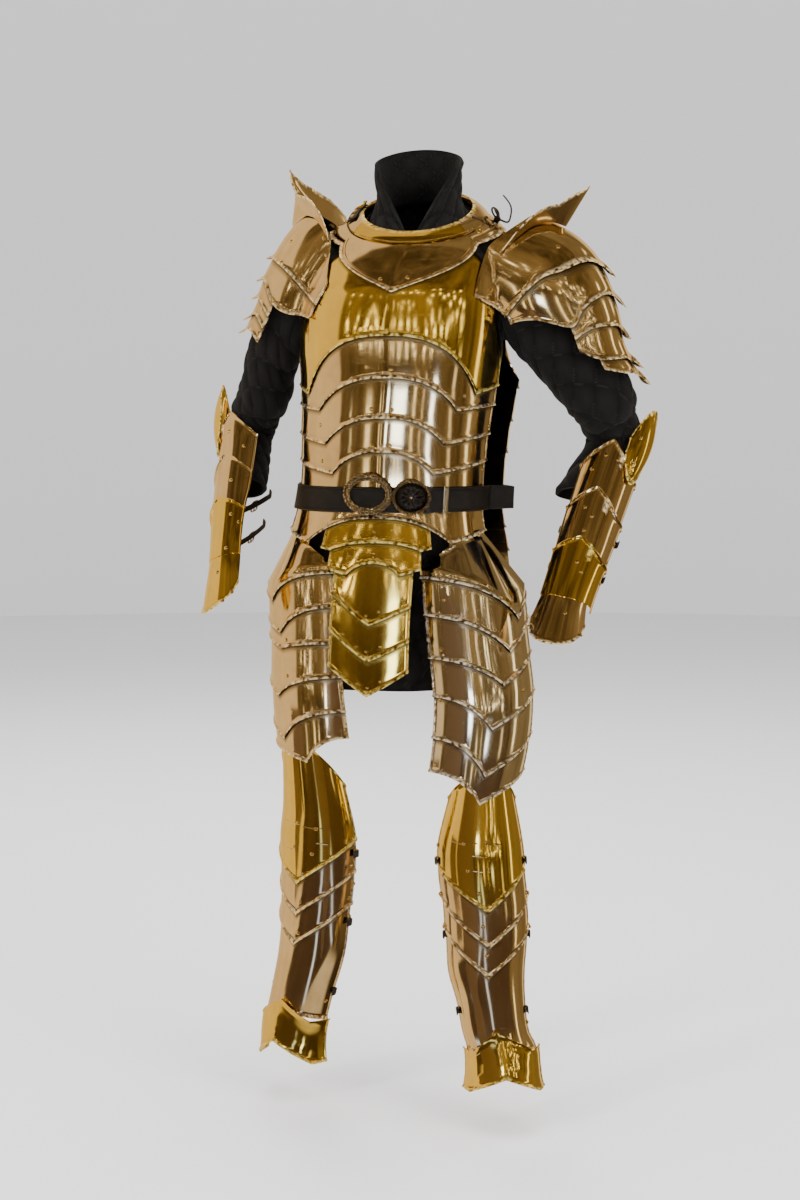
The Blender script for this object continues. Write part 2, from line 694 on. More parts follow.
def makeGorget():
    lift = step + 0.0006
    top = level(gorget["top"])
    stops = (-89.8, *frontStops, 89.8)
    # the breast's V has a raised border, 9 mm in from its edge
    border = ((0.0155, 0.0), (0.0135, 0.0001), (0.0125, 0.0012), (0.0105, 0.0016), (0.0085, 0.0012),
              (0.0075, 0.0001), (0.0040, 0.0), (0.0025, 0.0008), (0.0010, 0.0014), (0.0, 0.0010))
    rows = [(top, level(lift), 0), (raised(gorgetEdge, 0.022), keeled(lift), 14)]
    rows += [(raised(gorgetEdge, up), keeled(lift + proud), 1) for up, proud in border]
    finishPiece(sheetMetal("gorget_yoke_front", trunk, stops, rows, 5, border=5), "bronzedSteel",
                ["gorget_yoke_front"])

    def lower(angle):
        turn = np.abs(180 - angle) / 90
        return gorget["back"] + (gorget["shoulder"] - 0.004 - gorget["back"]) * turn ** 1.5

    rows = [(top, level(lift), 0), (raised(lower, 0.022), level(lift), 8)]
    rows += [(raised(lower, up), level(lift + proud), 1) for up, proud in border]
    stops = (90.2, *chest["backStops"], 269.8)
    finishPiece(sheetMetal("gorget_yoke_back", trunk, stops, rows, 5), "bronzedSteel", ["gorget_yoke_back"])
    stops = (-90, *frontStops, 90, *chest["backStops"], 270)
    low, high = gorget["ring"]

    def ringRow(share):
        height = np.interp(share, [0, 1], [low, high])
        swell = math.sin(math.pi * share) ** 0.7 * 0.0030
        return level(height), level(lift + step + 0.0004 + swell), 1

    rows = [ringRow(k / 12) for k in range(13)]
    ring = sheetMetal("gorget_collar", trunk, stops, rows, 5, closed=True)
    # beside the throat and behind it the steel of the yoke covers the brass of the ring
    spots = pointsOf(ring)
    share = np.interp(spots[:, 2] + sizes["neckHeight"], [low, high], [1.0, 0.0])
    turn = np.degrees(np.arctan2(spots[:, 0] - 0.004, -spots[:, 1] + 0.02))
    note(ring, "overlaid", 1.0 + share - np.interp(turn, gorget["brassTurn"], gorget["brassShare"]))
    finishPiece(ring, "ringMetal", ["gorget_collar"])
    seats = []
    for share in (0.10, 0.90):
        height, out, _ = ringRow(share)
        for angle in np.arange(-46, 62, 1.9):
            here = np.array(float(angle))
            spot = trunk.point(here, height(here), out(here))
            spot[2] -= sizes["neckHeight"]
            seats.append((spot, trunk.normal(here, height(here))))
    return seats


makeChest()
makeBack()
ringSeats = makeGorget()
print("trunk plates made")


# Pauldrons: distances outward from the neck side, at angles from the ridge
pauldrons = {
    "left": {"rings": [
        (0.17, 0.0, 1.445, 0.085, 0.096, 0.098, 90), (0.235, 0.0, 1.405, 0.088, 0.105, 0.102, 90),
        (0.27, 0.005, 1.355, 0.08, 0.095, 0.092, 90), (0.3, 0.01, 1.285, 0.07, 0.08, 0.07, 90),
        (0.335, 0.02, 1.225, 0.068, 0.072, 0.068, 90),
    ],
             "halfStops": (0, 15, 35, 60, 80, 105, 130),
             "edges": [
                 (0.000, 0.000, -0.004, -0.015, -0.024, -0.012, 0.004),
                 (0.120, 0.100, 0.090, 0.083, 0.072, 0.066, 0.062),
                 (0.158, 0.141, 0.134, 0.138, 0.156, 0.114, 0.086), (0.214, 0.186, 0.176, 0.170, 0.176),
                 (0.275, 0.250, 0.238, 0.222, 0.196), (0.305, 0.278, 0.265, 0.240),
             ],
             "hand": -1, "shift": 0.0, "lean": 0.02, "clear": 0.0036},
    "right": {"rings": [
        (-0.095, 0.0, 1.475, 0.085, 0.086, 0.096, -90), (-0.118, 0.0, 1.452, 0.086, 0.09, 0.098, -90),
        (-0.145, 0.0, 1.412, 0.086, 0.088, 0.098, -90), (-0.163, 0.0, 1.38, 0.08, 0.084, 0.09, -90),
        (-0.178, 0.002, 1.352, 0.074, 0.078, 0.082, -90), (-0.197, 0.006, 1.318, 0.073, 0.074, 0.073, -90),
        (-0.214, 0.012, 1.285, 0.07, 0.071, 0.07, -90),
    ],
              "halfStops": (0, 15, 35, 60, 80, 98, 112),
              "edges": [
                  (-0.005, -0.005, -0.008, -0.010, 0.000, 0.030, 0.062),
                  (0.085, 0.080, 0.078, 0.080, 0.086, 0.096, 0.100),
                  (0.120, 0.112, 0.113, 0.132, 0.134, 0.126, 0.122), (0.152, 0.140, 0.140, 0.154),
                  (0.190, 0.178, 0.166, 0.175), (0.212, 0.200, 0.190, 0.196),
              ],
              "hand": 1, "shift": -0.024, "lean": -0.60, "clear": 0.0021},
}
wing = {
    "stops": (-80, -60, -35, -15, 0, 15, 35, 60, 80),
    "heights": (0.008, 0.034, 0.042, 0.055, 0.077, 0.034, 0.028, 0.022, 0.006),
    "base": (0.000, 0.010, 0.025, 0.042, 0.055, 0.042, 0.025, 0.010, 0.000),
    "foot": 0.016,
    "tipFlare": 0.010,
}


class ShoulderForm(Form):
    # lifted off the body wherever it would cut into it
    def __init__(self, rows, hand, clear):
        super().__init__(rows, True, hand)
        self.clear = clear

    def point(self, angle, along, out=0.0):
        spot = super().point(angle, along, out)
        angle, along = np.asarray(angle, float), np.asarray(along, float)
        away = self.surface(angle, along) - self.middle(along)
        push = np.stack([np.zeros_like(away[..., 0]), away[..., 1], np.maximum(0, away[..., 2])], -1)
        push /= np.linalg.norm(push, axis=-1, keepdims=True)
        room = self.clear + np.broadcast_to(out, spot.shape[:-1])
        low, high = np.zeros(spot.shape[:-1]), np.full(spot.shape[:-1], 0.1)
        cut = trunk.holds(spot, room)
        for _ in range(16):
            half = (low + high) / 2
            inside = trunk.holds(spot + push * half[..., None], room)
            low, high = np.where(inside, half, low), np.where(inside, high, half)
        return np.where(cut[..., None], spot + push * high[..., None], spot)


def makePauldron(side, own):
    form = ShoulderForm(own["rings"], own["hand"], own["clear"])
    half = own["halfStops"]
    stops = tuple(-a for a in half[:0:-1]) + tuple(half)
    edges = [mirrored((half[:len(edge)], edge)) for edge in own["edges"]]
    lift = step * 1.15

    def base(angle):
        return through((wing["stops"], wing["base"]), np.clip(angle, -80, 80)) + own["shift"]

    def foot(angle):
        return np.maximum(base(angle) - wing["foot"], edges[0](angle) + 0.002)

    def stand(angle):
        return np.maximum(base(angle), edges[0](angle) + 0.006)

    def tipped(out):
        return lambda angle: out + wing["tipFlare"] * np.clip(1 - np.abs(angle) / 15, 0, 1)

    def rim(edge):
        # flares gently to the point on the ridge over the last 15 mm
        shares = ((0.0150, 0.0, 0.0), (0.0110, 0.0, 0.18), (0.0075, 0.0001, 0.40), (0.0050, 0.0009, 0.60),
                  (0.0030, 0.0022, 0.78), (0.0014, 0.0028, 0.90), (0.0, 0.0022, 1.0))
        return [(raised(edge, -up), lambda angle, proud=proud, share=share:
                 lift + proud + share * (tipped(0)(angle)), 1) for up, proud, share in shares]

    rows = [(edges[0], level(0), 0), (foot, level(lift * 0.2), 3), (stand, level(lift * 0.4), 2),
            (between(stand, edges[1], 0.4), level(lift * 0.7), 6), (raised(edges[1], -0.015), level(lift), 6)]
    plate = sheetMetal(f"pauldron_{side}_top", form, stops, rows + rim(edges[1])[1:], 6, border=7)
    finishPiece(plate, "bronzedSteel", [f"pauldron_{side}_top"])
    for k in range(2, len(edges)):
        name = f"pauldron_{side}_lame_{k}"
        reach = half[len(own["edges"][k]) - 1]
        rows = [(raised(edges[k - 1], -tucked), level(0), 0),
                (raised(edges[k], -sizes["overlap"]), level(lift), 5)] + rim(edges[k])[1:]
        lame = sheetMetal(name, form, [a for a in stops if abs(a) <= reach], rows, 6, seam=tucked, border=7)
        finishPiece(lame, "bronzedSteel", [name])

    # the wing stands on a riveted foot; its faces meet in creases at the stops
    angles = fineStops(wing["stops"], 4)
    footRows, wallRows = 3, 12
    blank, column, row = flatBlank(f"pauldron_{side}_wing", len(angles) - 1, footRows + wallRows)
    angle = angles[column]
    up = np.clip((row - footRows) / wallRows, 0, 1)
    onFoot = np.clip(row / footRows, 0, 1)
    along = foot(angle) + (stand(angle) - foot(angle)) * onFoot
    rise = np.interp(angle, wing["stops"], wing["heights"]) * up
    spots = form.point(angle, along + rise * own["lean"], step * (1.6 + 0.3 * onFoot) + rise)
    lay(blank, spots)
    note(blank, "fromEdge", (1 - up) * np.interp(angle, wing["stops"], wing["heights"]) + 0.0001)
    thicken(blank, form.middle(along))
    finishPiece(blank, "bronzedSteel", [f"pauldron_{side}_wing"], 24)


for side, own in pauldrons.items():
    makePauldron(side, own)
print("pauldrons made")


# Tassets: upright forms, angles from their facing direction, outwards positive
tassets = {
    "stops": (-38, -22, -6, 10, 26, 38, 50, 66, 82, 98),
    "onTrunk": (42.3, 80),
    "left": {"rings": [
        (0.105, -0.02, 0.99, 0.1), (0.112, -0.03, 0.93, 0.098), (0.122, -0.04, 0.83, 0.096),
        (0.134, -0.05, 0.73, 0.0946), (0.13, -0.055, 0.65, 0.092), (0.118, -0.06, 0.575, 0.087),
    ],
             "sweeps": [
                 (0.928, 0.861, 0.900, 66), (0.867, 0.808, 0.860, 50), (0.797, 0.754, 0.803, 38),
                 (0.734, 0.683, 0.739, 26), (0.665, 0.604, 0.668, 26), (0.609, 0.558, 0.606, 26),
             ], "hand": 1},
    "right": {"rings": [
        (-0.13, -0.02, 0.99, 0.1, -20), (-0.126, -0.03, 0.93, 0.098, -19), (-0.12, -0.04, 0.83, 0.096, -16),
        (-0.117, -0.05, 0.73, 0.0946, -11), (-0.112, -0.055, 0.65, 0.09, -7), (-0.105, -0.06, 0.575, 0.086, -5),
    ],
              "sweeps": [
                  (0.935, 0.885, 0.915, 38), (0.879, 0.834, 0.870, 26), (0.819, 0.808, 0.840, 26),
                  (0.763, 0.728, 0.770, 38), (0.706, 0.657, 0.700, 38), (0.662, 0.621, 0.655, 10),
              ], "hand": -1},
    "centreStops": (-20, -12.5, 0, 12.5, 20),
    "centreEdges": [(0.904, 0.852, 0.883), (0.844, 0.792, 0.826), (0.784, 0.734, 0.775)],
}


def swept(sweep):
    inner, cusp, outer, cuspAngle = sweep
    first, last = tassets["stops"][0], tassets["stops"][-1]

    def height(angle):
        turn = np.clip((angle - first) / (cuspAngle - first), 0, 1)
        after = np.clip((angle - cuspAngle) / (last - cuspAngle), 0, 1)
        return inner - (inner - cusp) * turn ** 2.6 + (outer - cusp) * after ** 0.9
    return height


def makeTasset(side, own):
    form = Form(own["rings"], hand=own["hand"])
    edges = [swept(sweep) for sweep in own["sweeps"]]
    stops = tassets["stops"]
    name = f"tasset_{side}_1"
    angles = fineStops(stops, 5)
    hangRows = 12
    rim = rolledRim(edges[0], level, step)
    blank, column, row = flatBlank(name, len(angles) - 1, hangRows + len(rim))
    angle = angles[column]
    turn = tassets["onTrunk"][0] + (tassets["onTrunk"][1] - tassets["onTrunk"][0]) * column / (len(angles) - 1)
    drop = np.interp(row, [0, 3], [tucked, -0.004])
    hung = trunk.point(turn, fauldEdges[0](turn) + drop)
    if own["hand"] < 0:
        hung[:, 0] = 2 * trunk.ring(hung[:, 2])["x"] - hung[:, 0]
    seat = form.point(angle, edges[0](angle) + sizes["overlap"], step)
    share = np.clip((row - 3) / (hangRows - 3), 0, 1) ** 1.3
    spots = hung + (seat - hung) * share[:, None]
    heights = np.array([height(angles) for height, _, _ in rim])
    outs = np.array([out(angles) for _, out, _ in rim])
    low = np.maximum(row - hangRows - 1, 0)
    onRim = form.point(angle, heights[low, column], outs[low, column])
    spots = np.where((row > hangRows)[:, None], onRim, spots)
    lay(blank, spots)
    note(blank, "fromEdge", np.where(row > hangRows, heights[low, column] - heights[-1, column], 0.02))
    thicken(blank, form.middle(edges[0](angle) + 0.02))
    finish = "paleSteel" if side == "left" else "bronzedSteel"
    finishPiece(blank, finish, [name])
    for k, (upper, lower) in enumerate(zip(edges, edges[1:])):
        name = f"tasset_{side}_{k + 2}"
        lame = sheetMetal(name, form, stops, lameRows(upper, lower), 5, seam=tucked, border=7)
        finishPiece(lame, finish, [name])


def makeCentreTasset():
    stops = tassets["centreStops"]

    def pointed(left, middle, right):
        return lambda angle: middle + (np.where(angle < 0, left, right) - middle) * np.abs(angle) / stops[-1]

    edges = [fauldEdges[-1]] + [pointed(*edge) for edge in tassets["centreEdges"]]
    for k, (upper, lower) in enumerate(zip(edges, edges[1:])):
        rows = [(height, lambda angle, out=out: out(angle) - 0.0009, steps)
                for height, out, steps in lameRows(upper, lower, steps=5)]
        name = f"centre_tasset_{k + 1}"
        finishPiece(sheetMetal(name, trunk, stops, rows, 8, seam=tucked, border=2.2), "gildedBrass", [name])


for side in ("left", "right"):
    makeTasset(side, tassets[side])
makeCentreTasset()
print("tassets made")


# Forearms: rings from the elbow to the hand, distances up from the wrist
forearms = {
    "left": {"rings": [
        (0.366, 0.087, 1.17, 0.0493, -5), (0.346, 0.05, 1.1, 0.049, -5), (0.316, -0.005, 0.995, 0.046, -5),
        (0.286, -0.06, 0.89, 0.041, -5), (0.27, -0.1, 0.812, 0.05, -5),
    ], "hand": 1},
    "right": {"rings": [
        (-0.282, 0.078, 1.178, 0.05, -27), (-0.28, 0.05, 1.13, 0.049, -27), (-0.276, -0.02, 1.04, 0.046, -27),
        (-0.268, -0.09, 0.954, 0.041, -35), (-0.265, -0.118, 0.872, 0.046, -47),
    ], "hand": -1},
    "stops": (-63, -42, -21, 0, 21, 42, 64, 90, 115),
    "edges": [(0.285, 0.235), (0.195, 0.155), (0.102, 0.075), (-0.010, -0.006)],
    "elbowStops": (28, 42, 60, 78, 92),
    "handStops": (-63, -42, -21, 0, 21, 42, 64),
    "wristRing": 3,
}


def makeForearm(side, own):
    form = Form(own["rings"], True, own["hand"])
    end = form.places[forearms["wristRing"]]

    def peak(edge):
        high, low = edge
        return lambda angle: end - low - (high - low) * np.clip(1 - np.abs(angle) / 60, 0, 1)

    peaks = [peak(edge) for edge in forearms["edges"]]
    lames = []
    for k, (upper, lower) in enumerate(zip(peaks, peaks[1:])):
        # each lower lame lies over the one above it, with its rolled edge on top
        under = raised(lower, 0.010) if k < 2 else lower
        rows = rolledRim(upper, level, step * k)[::-1] + [(under, level(step * k), 8)]
        lame = sheetMetal(f"vambrace_{side}_{k}", form, forearms["stops"], rows, 4, border=9)
        turned = lame.data.attributes["fromEdge"]
        values = np.empty(len(turned.data), np.float32)
        turned.data.foreach_get("value", values)
        turned.data.foreach_set("value", values.max() - values)
        lames.append(lame)
    vambrace = joined(f"vambrace_{side}", lames[:2])
    finishPiece(vambrace, "bronzedSteel", [f"vambrace_{side}"])
    cuff = joined(f"vambrace_{side}_cuff", lames[2:])
    finishPiece(cuff, "gildedBrass")

    # the wing beside the elbow, widest in its middle
    angles = fineStops(forearms["elbowStops"], 5)
    blank, column, row = flatBlank(f"elbow_wing_{side}", len(angles) - 1, 18)
    angle, across = angles[column], row / 9 - 1
    bulge = np.clip(1 - ((angle - 60) / 32) ** 2, 0, 1)
    along = end - 0.292 + across * (0.012 + 0.060 * bulge) - 0.012 * (angle - 60) / 32
    edge = np.minimum(1 - np.abs(across), np.sqrt(bulge))
    spots = form.point(angle, along, step + 0.0018 + 0.012 * bulge * (1 - across ** 2) + 0.002 * (edge < 0.08))
    lay(blank, spots)
    note(blank, "fromEdge", edge * 0.04)
    thicken(blank, form.middle(along))
    finishPiece(blank, "gildedBrass", [f"elbow_wing_{side}"])

    # the plate over the back of the hand, with a rolled edge
    angles = fineStops(forearms["handStops"], 6)
    blank, column, row = flatBlank(f"hand_plate_{side}", len(angles) - 1, 18)
    angle, share = angles[column], row / 18
    reach = 0.012 + 0.092 * np.sqrt(np.clip(1 - (angle / 70) ** 2, 0, 1))
    edge = (1 - share) * reach
    roll = 0.0022 * np.clip(1 - edge / 0.004, 0, 1)
    spots = form.point(angle, end - 0.004 + reach * share,
                       2 * step - sizes["plate"] - sizes["gap"] + 0.004 * share + roll)
    lay(blank, spots)
    note(blank, "fromEdge", edge)
    thicken(blank, form.middle(end + reach * share))
    finishPiece(blank, "bronzedSteel" if side == "left" else "gildedBrass", [f"hand_plate_{side}"])
    return form


armForms = {side: makeForearm(side, forearms[side]) for side in ("left", "right")}
print("forearms made")


# Greaves: upright forms, heights of the points and the ends of each edge
greaves = {
    "left": {"rings": [
        (0.149, -0.08, 0.558, 0.0549, 12), (0.147, -0.08, 0.486, 0.0684, 12), (0.149, -0.08, 0.436, 0.0704, 12),
        (0.156, -0.08, 0.374, 0.0683, 12), (0.158, -0.08, 0.318, 0.0662, 12), (0.158, -0.08, 0.266, 0.0623, 12),
        (0.166, -0.08, 0.215, 0.0552, 12), (0.174, -0.08, 0.164, 0.0532, 12), (0.184, -0.08, 0.138, 0.0552, 12),
        (0.188, -0.08, 0.067, 0.0542, 0.0623, 0.0542, 12),
    ], "edges": [(0.605, 0.560), (0.378, 0.404), (0.319, 0.347), (0.268, 0.300), (0.152, 0.130)],
             "ankle": (0.178, 0.140, 0.098, 0.070)},
    "right": {"rings": [
        (-0.138, -0.08, 0.636, 0.0519, -25), (-0.131, -0.055, 0.54, 0.063, -25),
        (-0.132, -0.033, 0.481, 0.0712, -25), (-0.136, -0.018, 0.408, 0.0692, -25),
        (-0.143, -0.006, 0.347, 0.0661, -25), (-0.154, 0.01, 0.27, 0.064, -25),
        (-0.177, 0.027, 0.187, 0.059, -25), (-0.192, 0.04, 0.127, 0.0579, -25),
        (-0.195, 0.051, 0.072, 0.0519, 0.0599, 0.0519, -25),
    ], "edges": [(0.655, 0.575), (0.402, 0.428), (0.345, 0.372), (0.290, 0.318), (0.168, 0.145)],
              "ankle": (0.190, 0.150, 0.110, 0.069)},
    "stops": (-88, -66, -44, -22, 0, 22, 44, 66, 88),
    # how far the ends of the pointed lower edges rise past those of the plain solids
    "sweep": (0, 0.052, 0.050, 0.046, 0),
}


def makeGreave(side, own):
    form = Form(own["rings"])
    stops = greaves["stops"]

    def pointed(edge, sweep):
        return lambda angle: edge[0] + (edge[1] + sweep - edge[0]) * (np.abs(angle) / stops[-1]) ** 0.9

    curves = [pointed(edge, sweep) for edge, sweep in zip(own["edges"], greaves["sweep"])]
    peak, sideTop = own["edges"][0]

    def top(angle):
        return peak - (peak - sideTop) * (angle / stops[-1]) ** 2

    rows = [(top, level(0.0016), 0), (raised(top, -0.0016), level(0.0020), 1),
            (raised(top, -0.0034), level(0.0010), 1), (raised(top, -0.0052), level(0.0), 1),
            (raised(curves[1], sizes["overlap"]), level(step), 16)] + rolledRim(curves[1], level, step)
    knee = sheetMetal(f"knee_plate_{side}", form, stops, rows, 6, border=9)
    finishPiece(knee, "gildedBrass", [f"knee_plate_{side}"])
    lames = [sheetMetal(f"shin_{side}_{k}", form, stops, lameRows(upper, lower, steps=4 if k < 2 else 14), 6,
                        seam=tucked, border=9)
             for k, (upper, lower) in enumerate(zip(curves[1:], curves[2:]))]
    finishPiece(joined(f"shin_lames_{side}", lames), "bronzedSteel", [f"shin_lames_{side}"])
    peak, shoulder, footSide, foot = own["ankle"]

    def upper(angle):
        return shoulder + (peak - shoulder) * np.clip(1 - np.abs(angle) / 50, 0, 1)

    def lower(angle):
        return foot + (footSide - foot) * np.clip(1 - np.abs(angle) / 60, 0, 1)

    lift = 2 * step + sizes["flare"] + 0.0008
    rows = [(upper, level(lift + 0.0012), 0), (raised(upper, -0.0014), level(lift + 0.0017), 1),
            (raised(upper, -0.0032), level(lift + 0.0008), 1), (raised(upper, -0.0050), level(lift), 1),
            (between(upper, lower, 0.35), level(lift), 3), (between(upper, lower, 0.7), level(lift + 0.002), 4),
            (raised(lower, 0.005), level(lift + 0.0052), 3), (raised(lower, 0.003), level(lift + 0.0070), 1),
            (raised(lower, 0.001), level(lift + 0.0074), 1), (lower, level(lift + 0.0066), 1)]
    ankle = sheetMetal(f"ankle_plate_{side}", form, stops, rows, 6, border=9)
    finishPiece(ankle, "gildedBrass", [f"ankle_plate_{side}"])
    return form


shinForms = {side: makeGreave(side, greaves[side]) for side in ("left", "right")}
print("greaves made")


# Gambeson: walls quilted in diamonds. A seam runs where either diagonal count is whole.
gambeson = {
    "cloth": 0.0045,
    "puff": 0.0045,
    "depth": 0.0046,
    "columns": 32,
    "rows": 20,
    "hem": 0.735,
    "armhole": (88, 1.42, 28, 0.065),
    "skirtRings": [
        (-0.019, 0.0, 1.0, 0.16, 0.124, 0.119, 0, 2.2), (-0.023, 0.0, 0.95, 0.16, 0.101, 0.124, 0, 2.2),
        (-0.03, 0.0, 0.85, 0.16, 0.094, 0.13, 0, 2.2), (-0.035, 0.0, 0.73, 0.163, 0.092, 0.134, 0, 2.1),
    ],
    "collarRings": [
        (0.028, 0.0, 1.64, 0.081, 0.087, 0.079, 0, 2.0, 0.3),
        (0.028, 0.0, 1.59, 0.0755, 0.079, 0.074, 0, 2.0, 0.4),
        (0.028, 0.0, 1.552, 0.0745, 0.079, 0.0745, 0, 2.0, 0.45),
        (0.028, 0.0, 1.526, 0.0855, 0.09, 0.0855, 0, 2.0, 0.45),
    ],
    "collarBottom": 1.5222,
    "collarTop": 1.617,
    "sleeveColumns": 12,
    "sleeveRows": 16,
    "left": {"rings": [
        (0.12, 0.0, 1.433, 0.064, 90), (0.2, 0.0, 1.385, 0.066, 90), (0.262, 0.01, 1.315, 0.063, 85),
        (0.328, 0.03, 1.235, 0.062, 78), (0.346, 0.06, 1.19, 0.051, 0.051, 0.055, 70),
        (0.358, 0.074, 1.155, 0.0426, 0.0426, 0.057, 66), (0.349, 0.057, 1.115, 0.0421, 0.0416, 0.068, 64),
        (0.333, 0.03, 1.06, 0.038, 0.038, 0.095, 60),
    ], "hand": -1},
    "right": {"rings": [
        (-0.08, 0.0, 1.433, 0.062, -90), (-0.15, 0.0, 1.39, 0.064, -90), (-0.205, 0.01, 1.335, 0.055, -90),
        (-0.232, 0.026, 1.285, 0.048, -90), (-0.246, 0.04, 1.238, 0.049, -90),
        (-0.268, 0.064, 1.202, 0.046, -90), (-0.279, 0.072, 1.17, 0.043, -90), (-0.28, 0.053, 1.13, 0.042, -90),
        (-0.277, 0.015, 1.07, 0.04, -90),
    ], "hand": 1},
}


def quiltHeight(column, row):
    # 0 in the seams, 1 on top of each diamond, and how close the nearest seam's stitches are
    first, second = (column + row) / 2, (column - row) / 2
    nearFirst, nearSecond = np.abs(np.sin(np.pi * first)), np.abs(np.sin(np.pi * second))
    puffed = (nearFirst * nearSecond) ** 0.55
    seam = np.minimum(nearFirst, nearSecond)
    dashes = 0.5 + 0.5 * np.sign(np.sin(2 * np.pi * 9 * np.where(nearFirst < nearSecond, second, first)))
    return puffed, np.clip(1 - seam / 0.10, 0, 1) * dashes


def rumple(spots, size, seed):
    # slow uneven waves in space, about -1 to 1
    total = np.zeros(len(spots))
    for k in range(5):
        turn = np.random.default_rng(seed * 31 + k)
        way = turn.normal(size=3)
        way /= np.linalg.norm(way)
        total += np.sin(spots @ way * 2 * np.pi / (size * (0.6 + 0.25 * k)) + turn.uniform(0, 6.28))
    return total / 2.6


def quilt(name, columns, rows, fine, place, uneven, cut=None, fold=None):
    blank, column, row = flatBlank(name, columns * fine, rows * fine)
    u, v = column / fine, row / fine
    inner, normal = place(u, v)
    puffed, stitch = quiltHeight(u, v)
    edge = np.minimum(v, rows - v)
    bound = np.clip(edge / 0.22, 0, 1)
    wave = rumple(inner, 0.11, len(name)) * uneven
    rumpled = 0.80 + 0.20 * rumple(inner, 0.05, 7 + len(name))
    height = gambeson["cloth"] + gambeson["puff"] * puffed * bound * rumpled
    height = np.clip(height + np.minimum(wave, 0) * 0.5, 0.002, gambeson["cloth"] + gambeson["puff"])
    creases = fold(u, v) if fold else 0.0
    outer = inner + normal * (height + creases)[:, None]
    lay(blank, outer)
    note(blank, "puffed", puffed * bound)
    note(blank, "stitch", stitch * bound)
    note(blank, "fromEdge", edge * 0.04)
    for axis, values in zip("XYZ", lowered(inner).T):
        note(blank, "inside" + axis, values)
    cloth = blank.data.uv_layers.new(name="cloth")
    metric = np.stack([u * 0.031, v * 0.040], -1)[cornersOf(blank)]
    cloth.data.foreach_set("uv", metric.ravel().astype(np.float32))
    cloth.active = True
    if cut is not None:
        gone = cut(u, v)
        mesh = bmesh.new()
        mesh.from_mesh(blank.data)
        faces = [face for face in mesh.faces if all(gone[vertex.index] for vertex in face.verts)]
        bmesh.ops.delete(mesh, geom=faces, context="FACES")
        mesh.to_mesh(blank.data)
        mesh.free()
    return blank


def closeWall(blank, middle):
    # gives the quilted sheet its plain inner face from the noted places, and joins the two
    faceOut(blank, middle)
    data = blank.data
    inside = np.empty((3, len(data.vertices)), np.float32)
    for k, axis in enumerate("XYZ"):
        data.attributes["inside" + axis].data.foreach_get("value", inside[k])
    mesh = bmesh.new()
    mesh.from_mesh(data)
    outerFaces = list(mesh.faces)
    copy = bmesh.ops.duplicate(mesh, geom=mesh.verts[:] + mesh.edges[:] + mesh.faces[:])
    twin = copy["vert_map"]
    for vertex in list(mesh.verts)[:len(data.vertices)]:
        twin[vertex].co = inside[:, vertex.index]
    innerFaces = [item for item in copy["geom"] if isinstance(item, bmesh.types.BMFace)]
    bmesh.ops.reverse_faces(mesh, faces=innerFaces)
    # each edge once, in the order of the faces, so that every run builds the same mesh
    rims = dict.fromkeys(edge for face in outerFaces for edge in face.edges if edge.is_boundary)
    for edge in rims:
        a, b = edge.verts
        loop = edge.link_loops[0]
        first, second = (a, b) if loop.vert == b else (b, a)
        mesh.faces.new((first, second, twin[second], twin[first]))
    mesh.to_mesh(data)
    mesh.free()
    for axis in "XYZ":
        data.attributes.remove(data.attributes["inside" + axis])
    weld(blank)


def finishQuilt(blank, middle, node):
    closeWall(blank, middle)
    finishPiece(blank, "quiltedCotton", [node], 60)


def makeGambesonBody():
    inner = -(gambeson["depth"] + gambeson["cloth"] + gambeson["puff"])
    form = Form([ring for ring in trunkRings if ring[2] > 1.01] + gambeson["skirtRings"])
    top = gorget["top"] + 0.006
    columns, rows = gambeson["columns"], gambeson["rows"]
    turn, height, wide, tall = gambeson["armhole"]

    def lines(v):
        return top + (gambeson["hem"] - top) * v / rows

    def place(u, v):
        angle, along = u / columns * 360, lines(v)
        return form.point(angle, along, inner), form.normal(angle, along)

    def armholes(u, v):
        angle = u / columns * 360
        side = np.where(angle < 180, turn, 360 - turn)
        return np.hypot((angle - side) / wide, (lines(v) - height) / tall) < 1.12

    def folds(u, v):
        # the skirt hangs in soft flutes below the belt
        low = np.clip((v - 12.5) / 7.5, 0, 1)
        return low * 0.0035 * np.sin(u / columns * 2 * np.pi * 7 + 0.8 * np.sin(v * 0.9)) - low * 0.0030

    blank = quilt("gambeson_body", columns, rows, 6, place, 0.0016, armholes, fold=folds)
    finishQuilt(blank, pointsOf(blank) * (0, 0, 1), "gambeson_body")


def makeGambesonCollar():
    columns, rows = 18, 4
    form = Form(gambeson["collarRings"])
    low, high = gambeson["collarBottom"], gambeson["collarTop"]

    def place(u, v):
        angle = 1.5 + 357 * u / columns
        opening = 1 - np.sin(np.radians(np.minimum(np.minimum(angle, 360 - angle), 90)))
        top = high - (high - low - 0.005) * opening
        along = top + (low - top) * v / rows
        return form.point(angle, along, -(gambeson["cloth"] + gambeson["puff"])), form.normal(angle, along)

    blank = quilt("gambeson_collar", columns, rows, 12, place, 0.0018)
    finishQuilt(blank, pointsOf(blank) * (0, 0, 1) + (0.028, 0, 0), "gambeson_collar")


